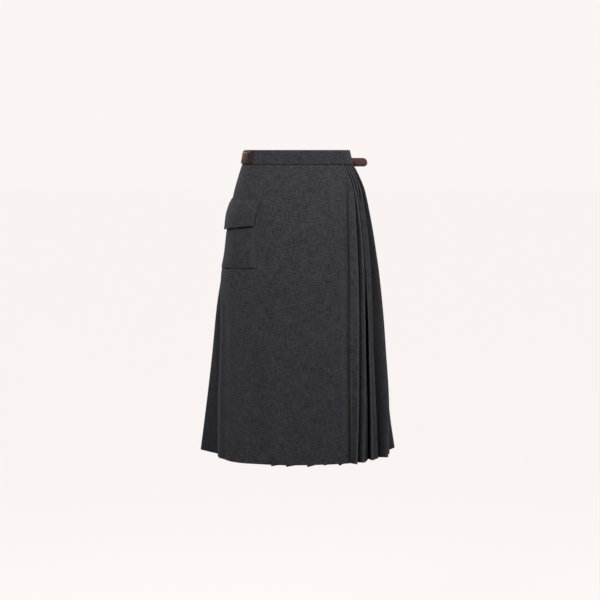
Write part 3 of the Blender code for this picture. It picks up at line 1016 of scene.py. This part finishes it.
# The plain side is turned in under the pleated back: millimetres along and in, the heights
# where the lap begins and where it is whole, its share above them, and where the cloth
# comes out of it.
LAP = ((-8.0, -2.4), (-2.0, -2.4), (0.2, -2.2), (0.75, -1.4), (0.95, -0.5))
LAP_SHARE = 0.2
PLAIN_UNEVEN = 1.3 * MM
PLAIN_STEPS = 72
LAP_OUT = 1.4
LAP_FROM = -38 * MM
LAP_WHOLE = -60 * MM


def plain_rows():
    """Plain left side, from the back seam round to its seam beneath the apron."""
    def path(z):
        first = SEAM_BACK + seam_turn(z, SEAM_BACK)
        per_mm = seam_turn(z, SEAM_BACK) * MM / (0.6 * GAP)
        lap = mix(LAP_SHARE, 1.0, ease((LAP_FROM - z) / (LAP_FROM - LAP_WHOLE)))
        line = [outline(z, first + along * lap * per_mm, out * lap * MM) for along, out in LAP]
        first += LAP_OUT * lap * per_mm
        last = SEAM_UNDER - seam_turn(z, SEAM_UNDER)
        for k in range(PLAIN_STEPS + 1):
            turn = mix(first, last - 1.2, k / PLAIN_STEPS)
            x, y = plain_point(z, turn)
            n = math.hypot(x, y)
            out = PLAIN_UNEVEN * spread(z) * wander(turn * 0.045, z * 2.2, 6.4)
            line.append((x + out * x / n, y + out * y / n))
        line.append(outline(z, last - 0.8, under_lift(z, last)))
        line.append(outline(z, last, under_lift(z, last)))
        return line

    return wall_rows(path, HEM, 140)


def patch_point(patch, along, down, lift):
    """Point of a patch on the apron, by its along and down shares."""
    right = patch.right - patch.slant * down
    z = mix(patch.top, patch.bottom + patch.rise * along, down)
    return (*apron_point(z, mix(patch.left, right, along), lift), z)


def patch_rows(patch, columns, rows, rise):
    """Rows of a patch; rise(along, down) is its height over the apron's middle."""
    return [[patch_point(patch, along, down, rise(along, down)) for along in columns] for down in rows]


PATCH_ENDS = (0.0, 0.006, 0.016, 0.03, 0.05)
PATCH_TURNED = 9 * MM


def spaced(count):
    """Steps from 0 to 1 that are even, and closer together at both ends."""
    inset = PATCH_ENDS[-1] + 0.02
    even = [mix(inset, 1 - PATCH_ENDS[-1] - 0.02, k / count) for k in range(count + 1)]
    return sorted([*PATCH_ENDS, *even, *(1 - e for e in PATCH_ENDS)])


def bag_rise(along, down):
    """The bag lies flat along its sewn edges and stands a little proud between them."""
    inner = min(ease(along * 7), ease((1 - along) * 14), ease((1 - down) * 8))
    loose = BAG_UNEVEN * wander(along * 2.2, down * 2.6, 4.4)
    return CLOTH + 1.6 * GAP + (BAG_PROUD + BAG_SLACK * ease(along) + loose) * MM * inner


def flap_rise(along, down):
    """The flap lies on the apron at its seam and stands off over the pocket."""
    uneven = FLAP_UNEVEN * wander(along * 1.8, down * 1.5, 7.7) * down
    curl = FLAP_CURL * ease((down - 0.75) * 4) * (0.4 - along)
    spring = mix(ease(down * 1.8), ease(down * 5), 0.4)
    return CLOTH + 2 * GAP + FLAP_SPRING * spring + uneven - curl


def apron_edge_shade(rows):
    """How far each point of the apron is into the painted shade along its right edge."""
    shares = []
    for row in rows:
        z = row[0][2]
        strength = EDGE_SHADE_SHARE * ease((EDGE_SHADE_FROM - z) / EDGE_SHADE_FULL)
        width = apron_width(min(z, TOP - PLUMB))
        line = [strength * ease(1 - (1 - across) * width / EDGE_SHADE) for across in apron_columns()]
        shares.append(line)
    return shares


class SKIRT_OT_waistband(bpy.types.Operator):
    """Make the waistband, a strip folded over its top edge"""
    bl_idname = "skirt.waistband"
    bl_label = "Waistband"

    def execute(self, context):
        rows = waistband_rows()
        band = cloth_sheet("waistband", rows, main_cloth())
        over = range(len(BAND_INSIDE), len(BAND_INSIDE) + BAND_OVER)
        # wear and a painted highlight along the band's top edge
        worn = [[BAND_WORN_HIGHLIT if i in over else 0.0] * len(row) for i, row in enumerate(rows)]
        store(band.data, "pressed", worn)
        return {"FINISHED"}


class SKIRT_OT_front_apron(bpy.types.Operator):
    """Make the flat front apron with its dart and soft creases"""
    bl_idname = "skirt.front_apron"
    bl_label = "Front apron"

    def execute(self, context):
        rows = apron_rows()
        apron = hung_panel("front_apron", rows, main_cloth(), context.scene.skirt_sizes.facing)
        # painted shade along the apron's right edge, in the mark of the painted fold shade
        store(apron.data, "folded", apron_edge_shade(rows))
        return {"FINISHED"}


class SKIRT_OT_side_pleats(bpy.types.Operator):
    """Make the pleated panel at the right side"""
    bl_idname = "skirt.side_pleats"
    bl_label = "Side pleats"

    def execute(self, context):
        pleated_panel("side_pleats", side_stations, steps=6, bow=2.2 * MM, seed=1.1, first=-50)
        return {"FINISHED"}


class SKIRT_OT_back_pleats(bpy.types.Operator):
    """Make the pleated panel round the back"""
    bl_idname = "skirt.back_pleats"
    bl_label = "Back pleats"

    def execute(self, context):
        pleated_panel("back_pleats", back_stations, steps=5, bow=2.4 * MM, seed=9.3, first=-10)
        return {"FINISHED"}


class SKIRT_OT_left_side(bpy.types.Operator):
    """Make the plain panel at the left side, which goes in beneath the apron"""
    bl_idname = "skirt.left_side"
    bl_label = "Plain left side"

    def execute(self, context):
        hung_panel("left_side", plain_rows(), under_cloth())
        return {"FINISHED"}


class SKIRT_OT_under_apron(bpy.types.Operator):
    """Make the pleated under apron, whose hem shows below the front"""
    bl_idname = "skirt.under_apron"
    bl_label = "Under apron"

    def execute(self, context):
        steps = 5
        fold = context.scene.skirt_sizes.fold

        def path(z):
            return pleated(under_stations(z), z, fold, steps, bow=0.8 * MM, seed=4.2)

        rows = wall_rows(path, UNDER_HEM, 245)
        raised = under_hem_share(steps)
        for row in rows:
            near = ease(1 - (row[0][2] - UNDER_HEM) / UNDER_SLOPE_FROM)
            row[:] = [(x, y, z + near * up) for (x, y, z), up in zip(row, raised, strict=True)]
        hung_panel("under_apron", rows, under_cloth())
        return {"FINISHED"}


class SKIRT_OT_pocket(bpy.types.Operator):
    """Make the patch pocket and the flap over it"""
    bl_idname = "skirt.pocket"
    bl_label = "Pocket"

    def execute(self, context):
        rows = patch_rows(BAG, spaced(30), spaced(34), bag_rise)
        thick = doubled_edges(rows, PATCH_TURNED, PATCH_TURNED)
        bag = panel_piece("pocket_bag", rows, main_cloth(), thick)
        rows = patch_rows(FLAP, spaced(32), spaced(18), flap_rise)
        thick = [[1.0] * len(row) for row in rows]
        flap = panel_piece("pocket_flap", rows, main_cloth(), thick)
        return {"FINISHED"}


# ---- leather -------------------------------------------------------------------------

EASED = 0.7 * MM         # how much of a strip's face is rounded off at its edges
CREASE_IN = 2.2 * MM     # a creased line runs this far from each edge
CREASE_HALF = 0.5 * MM
CREASE_DEEP = 0.35 * MM
END_CUT = 0.9            # how much of a strip's end is cut edge


def strip_section(width, thick):
    """Section of a leather strip: its outline as (out, up) points with eased edges, a creased
    line near each edge of the outer face, and how much of each point is cut edge."""
    w = width / 2
    t = thick / 2
    line = min(CREASE_IN, w * 0.4)
    outer = [(t, w - EASED, 0.25), (t, w - line + CREASE_HALF, 0.0), (t - CREASE_DEEP, w - line, 0.7),
             (t, w - line - CREASE_HALF, 0.0)]
    face = [(t, w * share, 0.0) for share in (0.6, 0.3, 0.0)]
    half = [(0.0, w, 1.0), (t - 0.25 * MM, w - 0.2 * MM, 1.0), *outer]
    half += [point for point in face if point[1] < w - line - 0.8 * MM]
    mirrored = [(out, -up, cut) for out, up, cut in reversed(half) if up > 1e-6 or cut]
    inner = [(-t + 0.25 * MM, -w + 0.2 * MM, 1.0), (-t, -w + EASED, 0.2), (-t, 0.0, 0.0),
             (-t, w - EASED, 0.2), (-t + 0.25 * MM, w - 0.2 * MM, 1.0)]
    return [*half, *mirrored, *inner]


def leather_strip(name, stations, node_name, handled=()):
    """Leather strip through stations of (place, out, lean, middle z, width, thickness share).

    The last argument gives how much painted shade darkens each station, 0 to 1."""
    thick = bpy.context.scene.skirt_sizes.leather
    rings = []
    width = max(station[4] for station in stations)
    section = strip_section(width, thick)
    for (x, y), (ox, oy), (lean_x, lean_y), z, wide, share in stations:
        ring = []
        for out, up, _ in section:
            lift = out * share
            rise = up * wide / width
            ring.append((x + ox * lift + lean_x * rise, y + oy * lift + lean_y * rise, z + rise))
        rings.append(ring)
    mesh = grid_mesh(name, rings, closed=True)
    bm = bmesh.new()
    bm.from_mesh(mesh)
    bm.verts.ensure_lookup_table()
    count = len(section)
    for start, step in ((0, 1), ((len(rings) - 1) * count, -1)):
        ring = [bm.verts[start + k] for k in range(count)]
        bm.faces.new(ring[::step])
    bmesh.ops.recalc_face_normals(bm, faces=bm.faces)
    bm.to_mesh(mesh)
    bm.free()
    ends = [END_CUT, *[0.0] * (len(rings) - 2), END_CUT]
    store(mesh, "edge", [[max(cut, end) for _, _, cut in section] for end in ends])
    inside = [1.0 if out < -0.1 * thick else 0.0 for out, _, _ in section]
    store(mesh, "flesh", [inside] * len(rings))
    # painted shade along the strip, darkening each station
    store(mesh, "handled", [[value] * count for value in handled or [0.0] * len(rings)])
    mesh.shade_smooth()
    return place(mesh, leather_material(), "brown_leather", node_name)


def on_band(z, turn, extra=0.0):
    """Point on the waistband's outer face, moved out to carry a leather strip."""
    return band_point(z, turn, BAND_WALL / 2 + 2 * GAP + LEATHER / 2 + extra)


def out_of_band(z, turn):
    return toward(on_band(z, turn), on_band(z, turn, MM))


def lean_of_band(z, turn):
    """How far the waistband leans in for each metre that it rises."""
    low = on_band(z - 5 * MM, turn)
    high = on_band(z + 5 * MM, turn)
    return ((high[0] - low[0]) / (10 * MM), (high[1] - low[1]) / (10 * MM))


def band_station(z, turn, width, share=1.0):
    """Station of a leather strip that lies on the waistband."""
    return (on_band(z, turn), out_of_band(z, turn), lean_of_band(z, turn), z, width, share)


def tab_painted_shade(turn):
    """Painted shade on the tab: darker towards its right end, a little less so at the very end."""
    return smooth_table((turn - TAB_FROM) / (TAB_TO - TAB_FROM), TAB_ACROSS, TAB_DARK)


def tab_stations():
    """The tab goes round the left side, over the wrap's outer end, with squared ends."""
    z = TAB_HEIGHT
    span = math.dist(on_band(z, -180.5), on_band(z, -179.5))
    ends = [0.0, 0.35 * MM / span, 0.9 * MM / span]
    turns = [TAB_FROM + e for e in ends]
    turns += [mix(TAB_FROM + 1.5, TAB_TO - 1.5, k / 40) for k in range(41)]
    turns += [TAB_TO - e for e in ends[::-1]]
    stations = []
    for index, turn in enumerate(turns):
        edge = min(index, len(turns) - 1 - index)
        share = (0.62, 0.9, 1.0)[min(edge, 2)]
        narrow = (0.8, 0.25, 0.0)[min(edge, 2)] * MM
        stations.append(band_station(z, turn, TAB_WIDTH - narrow, share))
    return stations, [tab_painted_shade(turn) for turn in turns]


def strap_reach():
    """Distances along the strap's free end and its width there, round at the tip."""
    radius = STRAP_WIDTH / 2
    plain = [(STRAP_FREE - radius) * k / 26 for k in range(1, 27)]
    reach = [(r, STRAP_WIDTH) for r in plain]
    for angle in (8, 16, 24, 32, 40, 48, 56, 63, 70, 76, 81, 85, 88):
        turn = math.radians(angle)
        reach.append((STRAP_FREE - radius * (1 - math.sin(turn)), STRAP_WIDTH * math.cos(turn) ** 0.8))
    return reach


def strap_stations():
    """The strap is sewn along the back of the waistband, and its round end stands out."""
    z = -BAND_HEIGHT / 2
    sewn = [mix(STRAP_ROOT, STRAP_LEAVES, k / 16) for k in range(17)]
    stations = [band_station(z, turn, STRAP_WIDTH) for turn in sewn]
    stations[0] = band_station(z, STRAP_ROOT, STRAP_WIDTH - 0.8 * MM, 0.65)
    lean = stations[-1][2]
    start = on_band(z, STRAP_LEAVES)
    along = toward(on_band(z, STRAP_LEAVES + 3), on_band(z, STRAP_LEAVES - 3))
    out = (along[1], -along[0])
    if out[0] * start[0] + out[1] * start[1] < 0:
        out = (-out[0], -out[1])
    for reach, width in strap_reach():
        drop = STRAP_DROP * ease((reach / STRAP_FREE - 0.1) / 0.5)
        share = 1.0 if width > STRAP_WIDTH * 0.35 else 0.8
        at = (start[0] + along[0] * reach, start[1] + along[1] * reach)
        stations.append((at, out, lean, z - drop, width, share))
    return stations


class SKIRT_OT_leather(bpy.types.Operator):
    """Make the leather tab at the left of the waistband and the strap at its right"""
    bl_idname = "skirt.leather"
    bl_label = "Leather tab and strap"

    def execute(self, context):
        # the tab comes with its painted shade, darker towards its right end
        stations, handled = tab_stations()
        leather_strip("leather_tab", stations, "waist_tab", handled)
        leather_strip("leather_strap", strap_stations(), "waist_strap")
        return {"FINISHED"}


# ---- stitching -----------------------------------------------------------------------

STITCH = 2.6 * MM
STITCH_GAP = 0.9 * MM
THREAD_RADIUS = 0.28 * MM
# A stitch's form: share of its length, share of its radius, and how many radii it stands up.
STITCH_FORM = (
    (0.0, 0.35, -0.4),
    (0.18, 0.95, 0.25),
    (0.5, 1.0, 0.5),
    (0.82, 0.95, 0.25),
    (1.0, 0.35, -0.4),
)
RUN_STEPS = 60


def add_stitch(bm, a, b, out):
    """One stitch from a to b: a thread that rises a little from the cloth and dips at its ends."""
    along = (b - a).normalized()
    side = along.cross(out).normalized()
    rings = []
    for t, thick, rise in STITCH_FORM:
        middle = a.lerp(b, t) + out * THREAD_RADIUS * rise
        ring = []
        for k in range(6):
            angle = math.pi / 3 * k
            offset = side * math.cos(angle) + out * math.sin(angle)
            ring.append(bm.verts.new(middle + offset * THREAD_RADIUS * thick))
        rings.append(ring)
    for first, second in zip(rings, rings[1:]):
        for k in range(6):
            bm.faces.new((first[k], second[k], second[(k + 1) % 6], first[(k + 1) % 6]))
    bm.faces.new(rings[0])
    bm.faces.new(rings[-1][::-1])


def stitch_run(bm, surface, corners):
    """Stitches along straight runs between corners; surface(u, v) gives a place and its normal."""
    for start, end in zip(corners, corners[1:]):
        fine = [surface(*between(start, end, k / RUN_STEPS))[0] for k in range(RUN_STEPS + 1)]
        run = [0.0]
        for a, b in zip(fine, fine[1:]):
            run.append(run[-1] + (b - a).length)
        count = max(int(run[-1] / (STITCH + STITCH_GAP)), 1)
        pitch = run[-1] / count
        for index in range(count):
            near = share_at(run, pitch * index + STITCH_GAP / 2)
            far = share_at(run, pitch * (index + 1) - STITCH_GAP / 2)
            a, out_a = surface(*between(start, end, near))
            b, out_b = surface(*between(start, end, far))
            add_stitch(bm, a, b, ((out_a + out_b) / 2).normalized())


def share_at(run, distance):
    """Share of the way, 0 to 1, at which a line of running distances reaches a distance."""
    steps = len(run) - 1
    for k in range(steps):
        if distance <= run[k + 1]:
            return (k + (distance - run[k]) / (run[k + 1] - run[k])) / steps
    return 1.0


def patch_surface(patch, rise):
    """Place and normal on a patch's outer face, by its along and down shares."""
    above = bpy.context.scene.skirt_sizes.cloth / 2 + 0.1 * MM

    def point(along, down):
        return Vector(patch_point(patch, along, down, rise(along, down) + above))

    def surface(along, down):
        middle = point(along, down)
        across = point(along + 0.01, down) - middle
        below = point(along, down + 0.01) - middle
        return middle, below.cross(across).normalized()

    return surface


class SKIRT_OT_stitching(bpy.types.Operator):
    """Sew the edges of the pocket and of its flap"""
    bl_idname = "skirt.stitching"
    bl_label = "Stitching"

    def execute(self, context):
        edge = context.scene.skirt_sizes.stitch_inset
        u = edge / (apron_width(-200 * MM) * (BAG.right - BAG.left))
        bm = bmesh.new()
        v = edge / (BAG.top - BAG.bottom)
        corners = [(u, 0.42), (u, 1 - v), (1 - u, 1 - v), (1 - u, 0.3)]
        stitch_run(bm, patch_surface(BAG, bag_rise), corners)
        v = edge / (FLAP.top - FLAP.bottom)
        corners = [(u, v), (u, 1 - v), (1 - u, 1 - v), (1 - u, v), (u, v)]
        stitch_run(bm, patch_surface(FLAP, flap_rise), corners)
        mat = thread_material("pocket_stitching_thread", context.scene.skirt_look.wool_thread)
        place(smooth_mesh("pocket_stitching", bm), mat, "charcoal_wool")
        return {"FINISHED"}


# ---- stage ---------------------------------------------------------------------------

MIDDLE = Vector((0.0, 0.0, -0.37))
LIGHT_DISTANCE = 2.5
FLOOR_HALF = 60.0        # half the floor's width, in metres
CAMERA_ASIDE = 0.0087    # metres to the right of the skirt's middle


def add_light(name, turn, height, energy):
    """Round soft light that looks at the skirt's middle, turn round from the front and up."""
    data = bpy.data.lights.new(name, "AREA")
    data.shape = "DISK"
    data.size = bpy.context.scene.skirt_studio.light_size
    data.energy = energy
    light = bpy.data.objects.new(name, data)
    level_part = math.cos(height)
    toward_light = Vector((math.sin(turn) * level_part, -math.cos(turn) * level_part, math.sin(height)))
    light.location = MIDDLE + toward_light * LIGHT_DISTANCE
    light.rotation_euler = toward_light.to_track_quat("Z", "Y").to_euler()
    light.visible_camera = False
    bpy.context.scene.collection.objects.link(light)


class SKIRT_OT_stage(bpy.types.Operator):
    """Set the pale floor, the soft studio light and the camera"""
    bl_idname = "skirt.stage"
    bl_label = "Stage"

    def execute(self, context):
        scene = context.scene
        studio = scene.skirt_studio
        world = bpy.data.worlds.new("studio")
        world.use_nodes = True
        background = world.node_tree.nodes["Background"]
        in_view = node(world.node_tree, "LightPath").outputs["Is Camera Ray"]
        strength = ranged(world.node_tree, in_view, 0.0, 1.0, studio.surround, 1.0)
        feed(world.node_tree, background, Color=(*studio.backdrop, 1.0), Strength=strength)
        scene.world = world
        scene.view_settings.view_transform = "Standard"

        bm = bmesh.new()
        bmesh.ops.create_grid(bm, x_segments=8, y_segments=8, size=FLOOR_HALF)
        bmesh.ops.translate(bm, vec=(0.0, 0.0, studio.floor_height), verts=bm.verts)
        mesh = bpy.data.meshes.new("floor")
        bm.to_mesh(mesh)
        bm.free()
        mesh.materials.append(floor_material())
        floor = bpy.data.objects.new("floor", mesh)
        floor.visible_diffuse = False
        floor.visible_glossy = False
        scene.collection.objects.link(floor)

        add_light("key_light", studio.key_turn, studio.key_height, studio.key)
        add_light("fill_light", studio.fill_turn, studio.fill_height, studio.fill)
        for side, way in (("right", 1), ("left", -1)):
            add_light(side + "_side_light", way * studio.side_turn, studio.side_height, studio.side)
            add_light(side + "_back_light", way * studio.back_turn, studio.back_height, studio.back)

        data = bpy.data.cameras.new("camera")
        data.sensor_width = 36.0
        data.lens = studio.lens
        camera = bpy.data.objects.new("camera", data)
        camera.location = (CAMERA_ASIDE, -studio.distance, 0.0)
        camera.rotation_euler = (math.pi / 2 - studio.pitch, 0.0, 0.0)
        scene.collection.objects.link(camera)
        scene.camera = camera
        return {"FINISHED"}


# ---- settings and panel --------------------------------------------------------------

def length(name, description, default):
    return bpy.props.FloatProperty(name=name, description=description, default=default, min=0.0,
                                   unit="LENGTH", subtype="DISTANCE", precision=5)


def colour(name, description, default):
    return bpy.props.FloatVectorProperty(name=name, description=description, default=default,
                                         min=0.0, max=1.0, size=3, subtype="COLOR")


def share(name, description, default, most=1.0):
    return bpy.props.FloatProperty(name=name, description=description, default=default, min=0.0,
                                   max=most, subtype="FACTOR")


def power(name, description, default):
    return bpy.props.FloatProperty(name=name, description=description, default=default, min=0.0,
                                   unit="POWER")


def angle(name, description, degrees):
    return bpy.props.FloatProperty(name=name, description=description, default=math.radians(degrees),
                                   unit="ROTATION", subtype="ANGLE")


class SkirtSizes(bpy.types.PropertyGroup):
    """Sizes of the cloth and the leather"""
    cloth: length("Cloth", "Thickness of one layer of cloth", 1.3 * MM)
    doubled: length("Doubled cloth", "Thickness of a turned edge or hem", 2.3 * MM)
    hem: length("Hem", "Depth of the turned hem", 28 * MM)
    facing: length("Facing", "Width of the apron's turned side edges", 24 * MM)
    fold: length("Fold radius", "Bend of the cloth in a pressed pleat", 1.15 * MM)
    row_step: length("Row step", "Distance between the rows of points down the skirt", 7 * MM)
    leather: length("Leather", "Thickness of the tab and the strap", 2.1 * MM)
    stitch_inset: length("Stitch inset", "Distance of the edge stitching from the edge", 2.5 * MM)


class SkirtLook(bpy.types.PropertyGroup):
    """Colours and finishes"""
    wool: colour("Wool", "Colour of the wool", (0.0180, 0.0181, 0.0212))
    # worn wool and a painted highlight on the pressed edges
    wool_wear_highlight: colour("Worn and highlit wool", "Colour of wear and painted highlight on pressed edges", (0.050, 0.050, 0.054))
    # a darker, bluer copy of the wool: painted shade beneath the wrap
    shaded_under_wool: colour("Shaded under wool", "Colour of the wool beneath the wrap, darkened as painted shade", (0.0115, 0.0118, 0.0150))
    # wear and a painted highlight on the under wool's edges
    under_wear_highlight: colour("Worn and highlit under wool", "Colour of wear and painted highlight on its edges", (0.030, 0.030, 0.034))
    leather: colour("Leather", "Colour of the leather", (0.0470, 0.0155, 0.0080))
    leather_flesh: colour("Flesh side", "Colour of its unfinished inner side", (0.0630, 0.0320, 0.0310))
    leather_edge: colour("Leather edge", "Colour of its cut edges and creases", (0.012, 0.005, 0.004))
    wool_thread: colour("Wool thread", "Colour of the sewing thread in the wool", (0.012, 0.012, 0.014))
    yarn: length("Yarn", "Distance from one yarn to the next but one in the weave", 1.1 * MM)
    melange: share("Melange", "How far the mixed fibres stray from the mean colour", 0.60)
    # how far wear and a painted highlight lighten the pressed edges
    edge_wear_and_highlight: share("Edge wear and highlight", "How far wear and painted highlight lighten the pressed edges", 0.45)
    # painted shade: how much the cloth deep in the folds is darkened
    painted_fold_shade: share("Painted fold shade", "How much painted shade darkens the cloth deep in the folds", 0.93)
    sheen: share("Sheen", "Strength of the wool's soft sheen", 0.025)


class SkirtStudio(bpy.types.PropertyGroup):
    """Floor, light and camera"""
    backdrop: colour("Backdrop", "Colour of the backdrop", (0.956, 0.913, 0.888))
    floor: colour("Floor", "Colour of the floor", (0.045, 0.043, 0.042))
    floor_glow: share("Floor glow", "Light that the floor adds of its own", 0.977)
    floor_height: bpy.props.FloatProperty(name="Floor height", description="Height of the floor",
                                          default=-1.6, unit="LENGTH", subtype="DISTANCE")
    surround: share("Surround", "Strength of the light that comes from all round", 0.20)
    key: power("Key light", "Power of the key light, at the left", 80.0)
    key_turn: angle("Key turn", "Turn of the key light round from the front", -20.0)
    key_height: angle("Key height", "Angle of the key light above the skirt's middle", 43.0)
    fill: power("Fill light", "Power of the fill light, at the right", 49.0)
    fill_turn: angle("Fill turn", "Turn of the fill light round from the front", 46.0)
    fill_height: angle("Fill height", "Angle of the fill light above the skirt's middle", 28.0)
    side: power("Side lights", "Power of each light beyond the two sides", 22.0)
    side_turn: angle("Side turn", "Turn of the side lights round from the front", 82.0)
    side_height: angle("Side height", "Angle of the side lights above the skirt's middle", 14.0)
    back: power("Back lights", "Power of each light behind the skirt", 34.0)
    back_turn: angle("Back turn", "Turn of the back lights round from the front", 142.0)
    back_height: angle("Back height", "Angle of the back lights above the skirt's middle", 30.0)
    light_size: length("Light size", "Width of each light", 0.45)
    lens: bpy.props.FloatProperty(name="Lens", description="Focal length of the camera in millimetres",
                                  default=91.55, min=10.0, unit="CAMERA")
    distance: length("Camera distance", "Distance of the camera in front of the waist", 3.7)
    pitch: angle("Camera pitch", "How far the camera looks down", 5.617)


OPERATORS = (
    SKIRT_OT_waistband,
    SKIRT_OT_front_apron,
    SKIRT_OT_side_pleats,
    SKIRT_OT_back_pleats,
    SKIRT_OT_left_side,
    SKIRT_OT_under_apron,
    SKIRT_OT_pocket,
    SKIRT_OT_leather,
    SKIRT_OT_stitching,
    SKIRT_OT_stage,
)
GROUPS = {"skirt_sizes": SkirtSizes, "skirt_look": SkirtLook, "skirt_studio": SkirtStudio}


class SKIRT_PT_panel(bpy.types.Panel):
    """Lists the skirt's pieces and settings"""
    bl_idname = "SKIRT_PT_panel"
    bl_label = "Pleated wrap skirt"
    bl_space_type = "VIEW_3D"
    bl_region_type = "UI"
    bl_category = "Skirt"

    def draw(self, context):
        for operator in OPERATORS:
            self.layout.operator(operator.bl_idname)
        for name, group in GROUPS.items():
            box = self.layout.box()
            box.label(text=group.__doc__)
            for key in group.__annotations__:
                box.prop(getattr(context.scene, name), key)


def register():
    for cls in (*GROUPS.values(), *OPERATORS, SKIRT_PT_panel):
        bpy.utils.register_class(cls)
    for name, group in GROUPS.items():
        setattr(bpy.types.Scene, name, bpy.props.PointerProperty(type=group))


def unregister():
    for name in GROUPS:
        delattr(bpy.types.Scene, name)
    for cls in reversed((*GROUPS.values(), *OPERATORS, SKIRT_PT_panel)):
        bpy.utils.unregister_class(cls)


def main():
    """Makes every piece and the stage."""
    register()
    for operator in OPERATORS:
        group, name = operator.bl_idname.split(".")
        getattr(getattr(bpy.ops, group), name)()
    bpy.context.view_layer.update()


if __name__ == "__main__":
    main()
